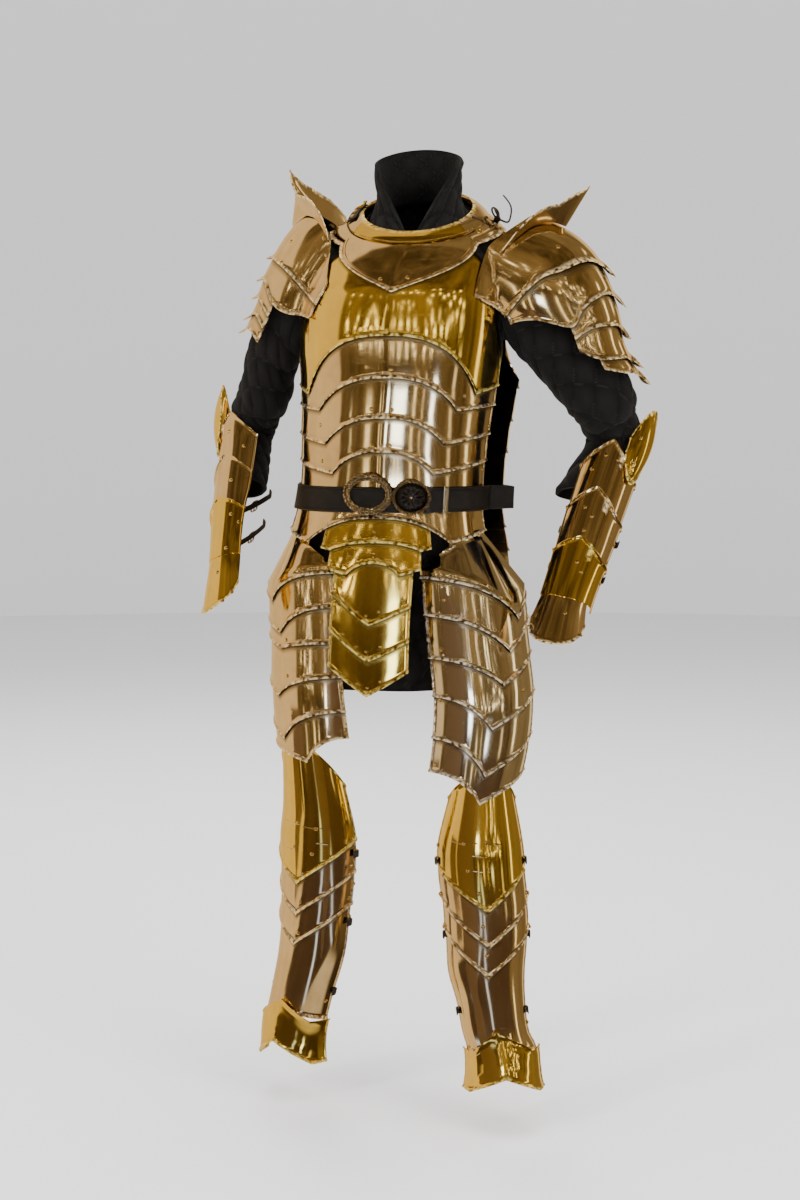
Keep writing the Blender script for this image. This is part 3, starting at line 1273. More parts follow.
def makeSleeve(side, own):
    form = Form(own["rings"], True, own["hand"])
    end = form.places[-1]
    columns, rows = gambeson["sleeveColumns"], gambeson["sleeveRows"]
    wall = gambeson["cloth"] + gambeson["puff"]

    def start(angle):
        low, high = np.zeros_like(angle), np.full_like(angle, 0.2)
        for _ in range(12):
            half = (low + high) / 2
            room = -gambeson["depth"] - 0.0026
            inside = trunk.holds(form.point(angle, half), room) | trunk.holds(form.point(angle, half, -wall), room)
            low, high = np.where(inside, half, low), np.where(inside, high, half)
        return high

    def place(u, v):
        angle = u / columns * 360
        first = start(angle)
        along = first + (end - first) * v / rows
        return form.point(angle, along, -wall), form.normal(angle, along)

    def folds(u, v):
        # creases round the elbow and above the cuff
        bend = np.exp(-((v / rows - 0.66) / 0.13) ** 2)
        return -0.0026 * bend * (0.5 + 0.5 * np.sin(v * 4.2 + 1.3 * np.sin(u * 0.9))) ** 3

    blank = quilt(f"sleeve_{side}", columns, rows, 10, place, 0.0020, fold=folds)
    line = lowered(form.middle(np.linspace(0, end, 60)))
    near = np.argmin(np.linalg.norm(pointsOf(blank)[:, None] - line[None], axis=-1), axis=1)
    finishQuilt(blank, line[near], f"sleeve_{side}")


makeGambesonBody()
makeGambesonCollar()
for side in ("left", "right"):
    makeSleeve(side, gambeson[side])
print("gambeson made")


# Belt
belt = {
    "bottom": 1.038,
    "width": 0.042,
    "thickness": 0.0040,
    "buckle": (-0.030, 1.069, 0.039, 0.034),
    "boss": (0.038, 1.064, 0.029),
}
belt["lift"] = step + sizes["flare"] + sizes["gap"] + belt["thickness"]


def beltOut(angle):
    return np.where((angle > 90) & (angle < 270), standing(belt["lift"])(angle), belt["lift"])


def makeBelt():
    stops = (*frontStops, *chest["backStops"], 280)
    top, low = belt["bottom"] + belt["width"], belt["bottom"]
    rows = [(level(top), lambda angle: beltOut(angle) - 0.0012, 0)]
    for inset, sunk in ((0.0012, 0.0), (0.0034, 0.0), (0.0042, 0.0007), (0.0050, 0.0), (0.021, -0.0)):
        rows.append((level(top - inset), lambda angle, sunk=sunk: beltOut(angle) - sunk, 1 if inset < 0.02 else 6))
    for inset, sunk in ((0.0050, 0.0), (0.0042, 0.0007), (0.0034, 0.0), (0.0012, 0.0), (0.0, 0.0012)):
        rows.append((level(low + inset), lambda angle, sunk=sunk: beltOut(angle) - sunk, 1 if inset < 0.005 else 6))
    strap = sheetMetal("belt_strap", trunk, stops, rows, 5, belt["thickness"])
    finishPiece(strap, "blackLeather", ["belt_strap"])


makeBelt()
print("belt made")


# Fittings. Small ones sit where the photograph shows them: a ray from the camera, through a point
# of its 800 by 1200 picture, ends on the plate that carries them.
def struck(carriers, across, down):
    # the nearest plate on the ray, or else the nearest place beside it that has one
    bpy.context.view_layer.update()
    camera = bpy.context.scene.camera
    for reach in (0, 2, 4, 6, 8, 10):
        for turn in range(8 if reach else 1):
            angle = turn * math.pi / 4
            way = sightline(across + reach * math.cos(angle), down + reach * math.sin(angle))
            best = None
            for piece in bpy.data.objects:
                if piece.type == "MESH" and piece.name.startswith(carriers) and not piece.hide_render:
                    hit, spot, normal, _ = piece.ray_cast(camera.location, way)
                    deep = (spot - camera.location).length
                    if hit and (best is None or deep < best[2]):
                        best = (spot, normal, deep)
            if best:
                return best[0], best[1]
    print("nothing at", carriers, across, down)
    return None


def seated(spot, normal, turn=0.0, sunk=0.0):
    # a place whose Z leaves the plate, with X level along it before the turn
    out = Vector(normal).normalized()
    sideways = Vector((0, 0, 1)).cross(out).normalized()
    upward = out.cross(sideways)
    across = sideways * math.cos(turn) + upward * math.sin(turn)
    place = Matrix((across, out.cross(across), out)).transposed().to_4x4()
    place.translation = Vector(spot) - out * sunk
    return place


def onForm(form, angle, along, out):
    return Vector(lowered(form.point(angle, along, out)))


def copied(name, pattern, places, finish):
    copies = []
    for place in places:
        copy = pattern.copy()
        copy.data = pattern.data.copy()
        copy.matrix_world = place
        bpy.context.collection.objects.link(copy)
        copies.append(copy)
    bpy.data.objects.remove(pattern)
    piece = joined(name, copies)
    choose(piece)
    bpy.ops.object.transform_apply(location=True, rotation=True, scale=True)
    return finishPiece(piece, finish, (), 40)


def domed(radius, height):
    # a rivet head: a flattened ball with a narrow collar, cut off below the plate
    deselect()
    bpy.ops.mesh.primitive_uv_sphere_add(segments=12, ring_count=8, radius=radius)
    head = bpy.context.object
    edited(head, (bpy.ops.transform.resize, {"value": (1, 1, height / radius)}),
           (bpy.ops.mesh.bisect, {"plane_co": (0, 0, -0.0003), "plane_no": (0, 0, 1), "clear_inner": True,
                                  "use_fill": True}))
    return head


def slotBar(length, width, height):
    # a narrow pressed bar with rounded ends
    deselect()
    bpy.ops.mesh.primitive_cube_add(size=1)
    bar = bpy.context.object
    bar.scale = (length, width, height)
    bpy.ops.object.transform_apply(location=False, rotation=False, scale=True)
    edited(bar, (bpy.ops.mesh.bevel, {"offset": min(width, height) * 0.42, "segments": 2, "affect": "EDGES"}))
    return bar


def tube(name, path, radius, sides=8, loop=False, flat=1.0, width=None):
    # a round or flattened tube through a line of places, seen from the neck base
    path = np.asarray(path, float)
    if loop:
        path = np.concatenate([path, path[:1]])
    count = len(path)
    radius = np.broadcast_to(np.asarray(radius, float), (count,)).copy()
    ahead = np.gradient(path, axis=0)
    if loop:
        ahead[0] = ahead[-1] = path[1] - path[-2]
    ahead /= np.linalg.norm(ahead, axis=1, keepdims=True)
    if width is None:
        side = np.cross(ahead[0], (0.0, 0.0, 1.0) if abs(ahead[0][2]) < 0.9 else (1.0, 0.0, 0.0))
        across = []
        for way in ahead:
            side = side - way * np.dot(side, way)
            side /= np.linalg.norm(side)
            across.append(side)
        across = np.array(across)
    else:
        # a strap: its broad side follows the given directions
        across = np.asarray(width, float)
        across = across - ahead * (across * ahead).sum(1, keepdims=True)
        across /= np.linalg.norm(across, axis=1, keepdims=True)
    other = np.cross(ahead, across)
    blank, column, row = flatBlank(name, sides, count - 1)
    turn = column / sides * 2 * np.pi
    c, s = np.cos(turn), np.sin(turn)
    if width is not None:
        # squarer than round
        c, s = np.sign(c) * np.abs(c) ** 0.35, np.sign(s) * np.abs(s) ** 0.55
    spots = path[row] + (across[row] * c[:, None] + other[row] * (s * flat)[:, None]) * radius[row][:, None]
    spots[:, 2] += sizes["neckHeight"]
    lay(blank, spots)
    steps = [(bpy.ops.mesh.remove_doubles, {"threshold": 0.00001})]
    if not loop:
        # the open ends are filled
        steps += [(bpy.ops.mesh.select_all, {"action": "DESELECT"}), (bpy.ops.mesh.select_non_manifold, {}),
                  (bpy.ops.mesh.edge_face_add, {}), (bpy.ops.mesh.select_all, {"action": "SELECT"})]
    edited(blank, *steps, (bpy.ops.mesh.normals_make_consistent, {"inside": False}))
    return blank


def smoothPath(points, steps):
    points = np.asarray(points, float)
    lengths = np.concatenate([[0], np.cumsum(np.linalg.norm(np.diff(points, axis=0), axis=1))])
    at = np.linspace(0, lengths[-1], steps)
    return np.stack([curveThrough(lengths, points[:, k], at) for k in range(3)], -1)


def roped(name, path, radius, strands, turns):
    # strands laid round a path
    path = np.asarray(path, float)
    count = len(path)
    ahead = np.roll(path, -1, 0) - np.roll(path, 1, 0)
    ahead /= np.linalg.norm(ahead, axis=1, keepdims=True)
    away = path - path.mean(0)
    away = away - ahead * (away * ahead).sum(1, keepdims=True)
    away /= np.linalg.norm(away, axis=1, keepdims=True)
    other = np.cross(ahead, away)
    made = []
    for strand in range(strands):
        turn = 2 * np.pi * (np.arange(count) / count * turns + strand / strands)
        line = path + (away * np.cos(turn)[:, None] + other * np.sin(turn)[:, None]) * radius * 0.62
        made.append(tube(f"{name}_{strand}", line, radius * 0.62, 6, True))
    return made


rivets = {
    "radius": 0.0037,
    "height": 0.0022,
    "small": 0.0026,
    # places in the photograph, by the pieces that carry them
    "seen": {
        ("gorget_yoke_front",): [(380.5, 279), (407.5, 277.5), (492, 224)],
        ("belly", "waist"): [(367, 367), (391, 370), (371, 409), (392, 410), (372, 446), (390, 446), (465, 396),
                             (320, 425), (322, 461), (483, 470), (489, 426)],
        ("pauldron_left",): [(501, 256), (558, 247), (496, 304), (501, 315), (532, 284), (553, 318), (581, 297),
                             (575, 308), (586, 320), (515, 223), (603, 352), (622, 342)],
        ("pauldron_right",): [(324, 238), (309, 290), (290.7, 241), (273.5, 300), (262, 308), (258, 333),
                              (281, 262), (266, 286)],
        ("vambrace_left", "elbow_wing_left"): [
            (592, 469), (606, 455), (618, 460), (630, 481), (585, 507), (592, 516), (584, 530),
            (622, 545), (611, 563), (577, 562), (581, 572), (600, 584), (641, 438), (634, 462)],
        ("hand_plate_left",): [(565, 613), (586, 641), (537, 638)],
        ("vambrace_right", "elbow_wing_right"): [
            (228.5, 431), (244, 446), (231, 480), (262, 492), (231, 514), (239, 522), (259, 537), (226, 548)],
        ("hand_plate_right",): [(217, 572), (236, 596), (228, 606)],
        ("tasset_right",): [(346, 730), (342, 691), (322, 622), (286, 640), (287, 676), (292, 712)],
        ("tasset_left",): [(435, 765), (450, 536), (444, 600), (441, 650), (440, 700), (520, 640), (523, 690)],
        ("knee_plate_right", "shin_lames_right"): [
            (298, 823), (316, 829), (294, 847), (312, 854), (302, 874), (300, 902), (298, 933), (352, 839),
            (351.5, 866), (349, 898)],
        ("knee_plate_left", "shin_lames_left"): [
            (464, 844), (486, 843), (468, 871), (489, 869), (479, 894), (483, 927), (487, 956), (520, 840),
            (524, 870), (525, 900), (438, 845), (443, 875), (447, 906)],
        ("ankle_plate_right", "shin_lames_right"): [(287, 1000.5), (326, 1001)],
        ("ankle_plate_left", "shin_lames_left"): [(494, 1034), (527, 1022)],
    },
    "fine": {
        ("fauld", "centre_tasset"): [
            (374.2, 531.7), (379, 539.5), (393, 530), (412, 540), (434, 547), (445, 548), (373.8, 553.5),
            (378, 558.5), (349, 556), (432, 560), (443, 557), (366, 616), (357, 612), (379, 612), (366, 652),
            (356, 647), (380, 647), (367, 688), (357, 684), (380, 682), (343, 596), (402, 600), (343, 634), (403, 636)],
    },
}


def settled(spot, carriers):
    # the nearest place on the carriers
    bpy.context.view_layer.update()
    best = None
    for piece in bpy.data.objects:
        if piece.type == "MESH" and piece.name.startswith(carriers) and not piece.hide_render:
            hit, place, normal, _ = piece.closest_point_on_mesh(spot)
            far = (place - spot).length
            if hit and (best is None or far < best[2]):
                best = (place, normal, far)
    return best[0], best[1]


def makeRivets():
    for size, table in (("radius", rivets["seen"]), ("small", rivets["fine"])):
        for carriers, places in table.items():
            found = [struck(carriers, *place) for place in places]
            seats = [seated(*hit, sunk=0.0002) for hit in found if hit]
            head = domed(rivets[size], rivets["height"] * rivets[size] / rivets["radius"])
            copied(f"rivets_{carriers[0]}", head, seats, "brightRivet")
    # the rows that the photograph can't show: down the back and round the outer sides
    seats = []
    for height in (1.29, 1.235, 1.18, 1.125):
        for angle in (120, 172, 188, 240):
            spot = onForm(trunk, angle, height, standing(step + 0.0020)(np.array(float(angle))))
            seats.append(seated(*settled(spot, ("back",)), sunk=0.0002))
    for side in ("left", "right"):
        for angle in (-84, 84):
            for height in (0.46, 0.40, 0.34):
                spot = onForm(shinForms[side], angle, height, step + 0.0040)
                seats.append(seated(*settled(spot, (f"knee_plate_{side}", f"shin_lames_{side}")), sunk=0.0002))
    copied("rivets_back", domed(rivets["radius"], rivets["height"]), seats, "brightRivet")


makeRivets()
copied("ring_beads", domed(0.0013, 0.0012), [seated(*seat) for seat in ringSeats], "brightRivet")
print("rivets set")


# Knee plates carry short pressed bars beside their rivets; the yoke has narrow slots
pressed = {
    "bars": {("knee_plate_right",): [(291, 822, 18), (309, 828, 14), (325, 829, 10), (322, 844, 12), (289, 848, 8)],
             ("knee_plate_left",): [(457, 843, 14), (473, 843, 10), (494, 844, 14), (478, 857, 12), (478, 872, 10)]},
    "slots": {("gorget_yoke_front", "gorget_collar"): [(478, 219, -28), (497, 229, -12)]},
    "eyelet": (479.5, 231),
}


def makePressed():
    for carriers, bars in pressed["bars"].items():
        hits = [(struck(carriers, across, down), size) for across, down, size in bars]
        seats = [seated(*hit, turn=-0.12, sunk=0.0002) @ Matrix.Diagonal((size * 0.0016, 1, 1, 1))
                 for hit, size in hits if hit]
        copied(f"bars_{carriers[0]}", slotBar(1.0, 0.0020, 0.0016), seats, "bronzedSteel")
    for carriers, places in pressed["slots"].items():
        hits = [(struck(carriers, across, down), math.radians(-turn)) for across, down, turn in places]
        seats = [seated(*hit, turn=-turn, sunk=0.0001) for hit, turn in hits if hit]
        frames = [seat @ Matrix.Translation((0, 0.0022, 0)) for seat in seats]
        copied("yoke_slots", slotBar(0.021, 0.0034, 0.0012), seats, "blackLeather")
        copied("yoke_slot_lips", slotBar(0.022, 0.0014, 0.0024), frames, "gildedBrass")
    hit = struck(("gorget_yoke_front",), *pressed["eyelet"])
    if hit:
        deselect()
        bpy.ops.mesh.primitive_torus_add(major_segments=24, minor_segments=8, major_radius=0.0060,
                                         minor_radius=0.0013)
        copied("yoke_eyelet", bpy.context.object, [seated(*hit)], "gildedBrass")


makePressed()


# Straps. Two black ones cross each open forearm plate and three each greave, riveted inside the
# edges and closed with a small roller buckle; they stay as worn.
straps = {
    "width": 0.0125,
    "thick": 0.0022,
    "forearm": (0.060, 0.128),
    # how far a strap stands back from the straight line across
    "bulge": {"forearm": 0.004, "shin": 0.016},
    "shin": (0.455, 0.330, 0.200),
    "buckleWidth": 0.0105,
}


def strapAcross(name, form, last, along, proud, bulge, width):
    # lies on the plate near both side ends and runs across the open back between them
    ends = form.point(np.array([last - 9.0, last - 4.0, last + 1.0]), np.full(3, along),
                      np.array([1.0, 1.0, 0.8]) * proud)
    others = form.point(np.array([359.0 - last, 364.0 - last, 369.0 - last]), np.full(3, along),
                        np.array([0.8, 1.0, 1.0]) * proud)
    back = form.normal(np.array(180.0), np.array(along))
    share = np.arange(1, 9)[:, None] / 9
    halfway = ends[-1] * (1 - share) + others[0] * share + back * bulge * np.sin(np.pi * share) ** 0.8
    path = lowered(smoothPath([tuple(spot) for spot in np.vstack([ends, halfway, others])], 40))
    above, below = (form.point(np.array(180.0), np.array(along + off)) for off in (0.006, -0.006))
    axis = above - below
    across = np.broadcast_to(axis / np.linalg.norm(axis), path.shape)
    return tube(name, path, width, 12, False, straps["thick"] / 2 / width, across), path


def rollerBuckle(name, spot, out, ahead, size):
    # a wire frame with its bar and pin, on top of a strap that runs ahead
    ahead = Vector(ahead).normalized()
    out = (Vector(out) - ahead * ahead.dot(Vector(out))).normalized()
    place = Matrix((ahead, out.cross(ahead), out)).transposed().to_4x4()
    place.translation = Vector(spot) + out * (straps["thick"] / 2 + 0.0008)
    corners = []
    for k in range(40):
        a = 2 * math.pi * k / 40
        corners.append((math.copysign(abs(math.cos(a)) ** 0.45, math.cos(a)) * size * 0.85,
                        math.copysign(abs(math.sin(a)) ** 0.45, math.sin(a)) * size * 1.25, 0))
    parts = [tube(f"{name}_frame", [tuple(place @ Vector(c)) for c in corners], 0.0013, 8, True)]
    bar = [tuple(place @ Vector((0, size * (k / 4 - 1) * 1.2, 0))) for k in range(9)]
    parts.append(tube(f"{name}_bar", bar, 0.0012, 8))
    pin = [tuple(place @ Vector((size * 0.95 * k / 6, 0, 0.0008 + 0.0012 * math.sin(math.pi * k / 6))))
           for k in range(7)]
    parts.append(tube(f"{name}_pin", pin, 0.0010, 6))
    return parts


def makeStraps():
    for side in ("left", "right"):
        end = armForms[side].places[forearms["wristRing"]]
        # name, form, last stop, places along it, height off the form, bulge, share of the buckle's width
        kinds = (("vambrace", armForms[side], forearms["stops"][-1], [end - up for up in straps["forearm"]],
                  step * 3 + 0.002, straps["bulge"]["forearm"], 0.8),
                 ("greave", shinForms[side], greaves["stops"][-1], straps["shin"],
                  step + 0.0045, straps["bulge"]["shin"], 1.0))
        for name, form, last, places, proud, bulge, share in kinds:
            bands, buckles = [], []
            for k, along in enumerate(places):
                band, path = strapAcross(f"strap_{k}", form, last, along, proud, bulge, straps["width"] / 2)
                bands.append(band)
                middle = len(path) // 2
                buckles += rollerBuckle(f"buckle_{k}", path[middle], form.normal(np.array(180.0), np.array(along)),
                                        path[middle + 1] - path[middle - 1], straps["buckleWidth"] * share)
            finishPiece(joined(f"{name}_straps_{side}", bands), "blackLeather")
            finishPiece(joined(f"{name}_buckles_{side}", buckles), "buckleSteel")


makeStraps()
print("straps made")


# Belt fittings: an oval ring laid like rope, which the strap runs through, a round boss with a
# rope edge and a carved rosette, and two keepers
fittings = {
    "ring": belt["buckle"],
    "boss": belt["boss"],
    "keepers": [(27.5, 0.0030, "blackLeather", 0.0012), (38.5, 0.0046, "buckleSteel", 0.0016)],
    "petals": 10,
    "sheet": 0.0011,
}


def onBelt(x, z, out):
    # the front of the trunk at a sideways distance instead of an angle
    x, z, out = np.broadcast_arrays(np.asarray(x, float), np.asarray(z, float), np.asarray(out, float))
    low, high = np.full(x.shape, -60.0), np.full(x.shape, 60.0)
    for _ in range(18):
        middle = (low + high) / 2
        less = trunk.surface(middle, z)[..., 0] < x
        low, high = np.where(less, middle, low), np.where(less, high, middle)
    return trunk.point(low, z, belt["lift"] + sizes["gap"] + out)


def oval(centre, wide, tall, out, count):
    turn = np.arange(count) / count * 2 * np.pi
    return lowered(onBelt(centre[0] + wide * np.sin(turn), centre[1] + tall * np.cos(turn), out))


def domedDisc(name, centre, wide, tall, shares, heights, around, carve=None):
    blank, column, row = flatBlank(name, around, len(shares) - 1)
    turn = column / around * 2 * np.pi
    share = np.asarray(shares)[row]
    out = np.asarray(heights)[row] + (carve(turn, share) if carve else 0.0)
    x, z = centre[0] + wide * share * np.sin(turn), centre[1] + tall * share * np.cos(turn)
    spots = onBelt(x, z, out)
    lay(blank, spots)
    thicken(blank, spots + (0, 0.05, 0), fittings["sheet"], True)
    return blank


def makeBeltFittings():
    x, z, wide, tall = fittings["ring"]
    parts = roped("ringRope", oval((x, z), wide * 0.955, tall * 0.945, 0.0034, 200), 0.0027, 2, 17)
    parts += roped("ringInner", oval((x, z), wide * 0.765, tall * 0.735, 0.0030, 160), 0.0018, 2, 15)

    def leaves(turn, share):
        # overlapping leaves on the band between the two ropes
        leaf = np.abs(((turn / (2 * np.pi) * 22) % 1.0) - 0.5) * 2
        return 0.0012 * (1 - leaf) * np.sin(np.pi * np.clip((share - 0.76) / 0.18, 0, 1))

    parts.append(domedDisc("ringBand", (x, z), wide, tall, (0.76, 0.79, 0.82, 0.85, 0.88, 0.91, 0.94),
                           (0.0016, 0.0030, 0.0036, 0.0038, 0.0036, 0.0030, 0.0016), 176, leaves))
    finishPiece(joined("belt_ring", parts), "darkPewter", ["belt_buckle"], 45)
    x, z, radius = fittings["boss"]

    def rosette(turn, share):
        petal = np.abs(np.cos(turn * fittings["petals"] / 2))
        return 0.0013 * petal * np.sin(np.pi * np.clip((share - 0.16) / 0.62, 0, 1)) \
            - 0.0006 * np.exp(-((share - 0.46) / 0.035) ** 2)

    shares = (0.0, 0.05, 0.10, 0.15, 0.20, 0.27, 0.34, 0.41, 0.46, 0.51, 0.58, 0.65, 0.72, 0.78, 0.84, 0.90)
    heights = [0.0020 + 0.0022 * (1 - share ** 2) - (0.0016 if share > 0.75 else 0) for share in shares]
    parts = [domedDisc("bossFace", (x, z), radius, radius, shares, heights, 120, rosette)]
    parts += roped("bossRope", oval((x, z), radius * 0.93, radius * 0.93, 0.0030, 168), 0.0025, 2, 15)
    rope = joined("belt_rosette_rope", parts[1:])
    finishPiece(rope, "darkPewter", (), 45)
    finishPiece(joined("belt_rosette", parts[:1]), "blackBoss", ["belt_boss"], 45)
    stud = seated(lowered(onBelt(x, z, 0.0042)), trunk.normal(np.array(14.0), np.array(z)))
    copied("rosette_stud", domed(0.0030, 0.0022), [stud], "buckleSteel")
    for k, (angle, half, finish, thick) in enumerate(fittings["keepers"]):
        low, high = belt["bottom"] - 0.0012, belt["bottom"] + belt["width"] + 0.0012
        turn = np.concatenate([np.linspace(-0.5, 0, 5), np.linspace(0, 1, 11)[1:-1], np.linspace(1, 1.5, 5)])
        height = low + (high - low) * np.clip(turn, 0, 1)
        outs = belt["lift"] + 0.0012 + thick / 2 - 0.0060 * np.abs(turn - np.clip(turn, 0, 1))
        path = lowered(trunk.point(np.full(len(turn), angle), height, outs))
        side = np.cross(np.gradient(path, axis=0), trunk.normal(np.full(len(turn), angle), height))
        keeper = tube(f"belt_keeper_{k}", path, half, 12, False, thick / 2 / half, side)
        finishPiece(keeper, finish)


makeBeltFittings()


# Shoulder closures: a short black strap with brass rivets and a hook on the wearer's right, and a
# leather thong knotted through an eyelet on the left, its free end standing up
shoulders = {
    # photo places along the strap, and along the thong's free end
    "strap": [(352, 221), (354, 217), (357, 212.5), (361, 209), (366, 206)],
    "end": [(508, 222), (511, 214), (511, 207), (508, 201), (503, 195)],
    "thong": 0.0017,
}


def makeShoulderStrap():
    # the strap lies over the ring, towards the collar
    hits = [struck(("gorget_collar",), *point) for point in shoulders["strap"]]
    path = smoothPath([tuple(spot + normal * 0.0022) for spot, normal in hits], 24)
    normals = smoothPath([tuple(normal) for _, normal in hits], 24)
    strap = tube("shoulder_strap", path, 0.0095, 12, False, 0.14, np.cross(np.gradient(path, axis=0), normals))
    finishPiece(strap, "blackLeather")
    seats = [seated(Vector(path[k]) + Vector(normals[k]).normalized() * 0.0012, normals[k]) for k in (4, 12)]
    copied("shoulder_strap_rivets", domed(0.0050, 0.0026), seats, "brightRivet")
    place = seated(Vector(path[19]) + Vector(normals[19]).normalized() * 0.0014, normals[19], 0.5)
    plate = [tuple(place @ Vector((-0.009 + 0.018 * k / 9, 0, 0.0006))) for k in range(10)]
    parts = [tube("hookPlate", plate, 0.0062, 12, False, 0.13, [tuple(place.to_3x3() @ Vector((0, 1, 0)))] * 10)]
    hook = [tuple(place @ Vector(point)) for point in smoothPath(
        [(-0.004, -0.004, 0.001), (0.006, -0.004, 0.002), (0.013, -0.002, 0.004), (0.013, 0.003, 0.005),
         (0.007, 0.005, 0.005)], 24)]
    parts.append(tube("hookWire", hook, 0.0018, 8))
    finishPiece(joined("shoulder_hook", parts), "gildedBrass", (), 40)


def makeThong():
    # the thong comes up through the yoke, loops twice and stands free
    hit = struck(("gorget_yoke",), 498, 222)
    if hit is None:
        return
    spot, normal = hit
    place = seated(spot, normal, 0.3)
    loops = []
    for k, (wide, tall, lean) in enumerate(((0.017, 0.010, 0.2), (0.012, 0.008, -0.5))):
        turn = np.linspace(0, 2 * np.pi, 28)
        loop = [(wide * math.sin(a), 0.004 + tall * (1 - math.cos(a)) * 0.9,
                 0.003 + 0.009 * math.sin(a / 2) + 0.002 * k + lean * 0.003 * math.sin(a)) for a in turn]
        loops.append(tube(f"loop_{k}", [tuple(place @ Vector(point)) for point in loop], shoulders["thong"], 8))
    knot = [(0.0045 * math.cos(a) * (1 + 0.2 * math.cos(3 * a)), 0.004 + 0.0035 * math.sin(2 * a),
             0.004 + 0.003 * math.sin(3 * a)) for a in np.linspace(0, 2 * np.pi, 60, endpoint=False)]
    loops.append(tube("knot", [tuple(place @ Vector(point)) for point in knot], shoulders["thong"] * 1.15, 8, True))
    finishPiece(joined("shoulder_thong_knot", loops), "blackLeather", (), 50)
    eye = bpy.context.scene.camera.location
    start = spot + normal * 0.005
    deep = (start - eye).length
    line = [tuple(start)]
    for across, down in shoulders["end"]:
        line.append(tuple(eye + sightline(across, down) * (deep - 0.004)))
    path = smoothPath(line, 24)
    thong = tube("shoulder_thong_end", path, np.linspace(1.0, 0.75, 24) * shoulders["thong"], 8)
    finishPiece(thong, "blackLeather", (), 50)


makeShoulderStrap()
makeThong()
print("fittings made")


# Studio: a pale dome and floor that the camera sees, and round them, seen only in the polished
# plates, a warm dim hall with a pale wall on the wearer's right, strip lamps and ceiling spots
studio = {
    "floor": -1.532,
    "radius": 9.0,
    "pale": (0.90, 0.90, 0.91),
    "hallDark": (0.060, 0.036, 0.012),
    "hallWarm": (0.36, 0.235, 0.085),
    "ground": (0.050, 0.030, 0.014),
    "paleFloor": (0.70, 0.56, 0.34),
    "paleWall": (0.92, 0.66, 0.34),
    "dimWall": (0.26, 0.18, 0.075),
    "lampWarm": (1.0, 0.84, 0.50),
    "lampCool": (0.84, 0.92, 1.0),
    # azimuth from straight ahead towards the wearer's left, half width, both in degrees, lowest
    # and highest elevation sine, brightness, and whether it is cool
    "strips": [(39, 3.2, -0.60, -0.10, 6.0, True), (17, 1.3, -0.50, -0.07, 2.4, False),
               (-24, 1.6, -0.50, -0.07, 2.4, False), (3, 0.9, -0.50, -0.07, 2.0, False),
               (-43, 1.2, -0.50, -0.07, 1.4, False), (66, 2.4, -0.50, -0.07, 1.2, False),
               (27, 0.8, -0.50, -0.07, 1.6, False), (-14, 0.8, -0.50, -0.07, 3.0, False),
               (98, 3.0, -0.30, 0.40, 2.2, False), (128, 5.0, 0.20, 0.70, 1.4, False)],
    # pale lines on the dark ground card: where each starts, and its run to the side by that ahead
    "lines": [(0.150, 0.15), (-0.175, 0.17)],
    # spots: their spacing in degrees and in the logarithm of height, size in that spacing, brightness
    "spots": (8.2, 0.46, 0.17, 15.0),
}


def makeStudio():
    paper = Finish("studioPaper")
    paper.feed(Base_Color=studio["pale"], Roughness=0.9, Specular_IOR_Level=0.1)
    deselect()
    bpy.ops.mesh.primitive_uv_sphere_add(segments=64, ring_count=32, radius=studio["radius"],
                                         location=(0, 0, studio["floor"] + 1.2))
    dome = bpy.context.object
    dome.name = "studioDome"
    edited(dome, (bpy.ops.mesh.bisect, {"plane_co": (0, 0, studio["floor"]), "plane_no": (0, 0, 1),
                                        "clear_inner": True, "use_fill": True}),
           (bpy.ops.mesh.select_all, {"action": "SELECT"}), (bpy.ops.mesh.normals_make_consistent, {"inside": True}))
    bpy.ops.object.shade_smooth_by_angle(angle=math.radians(30))
    dome.data.materials.append(paper.material)
    dome.visible_glossy = False


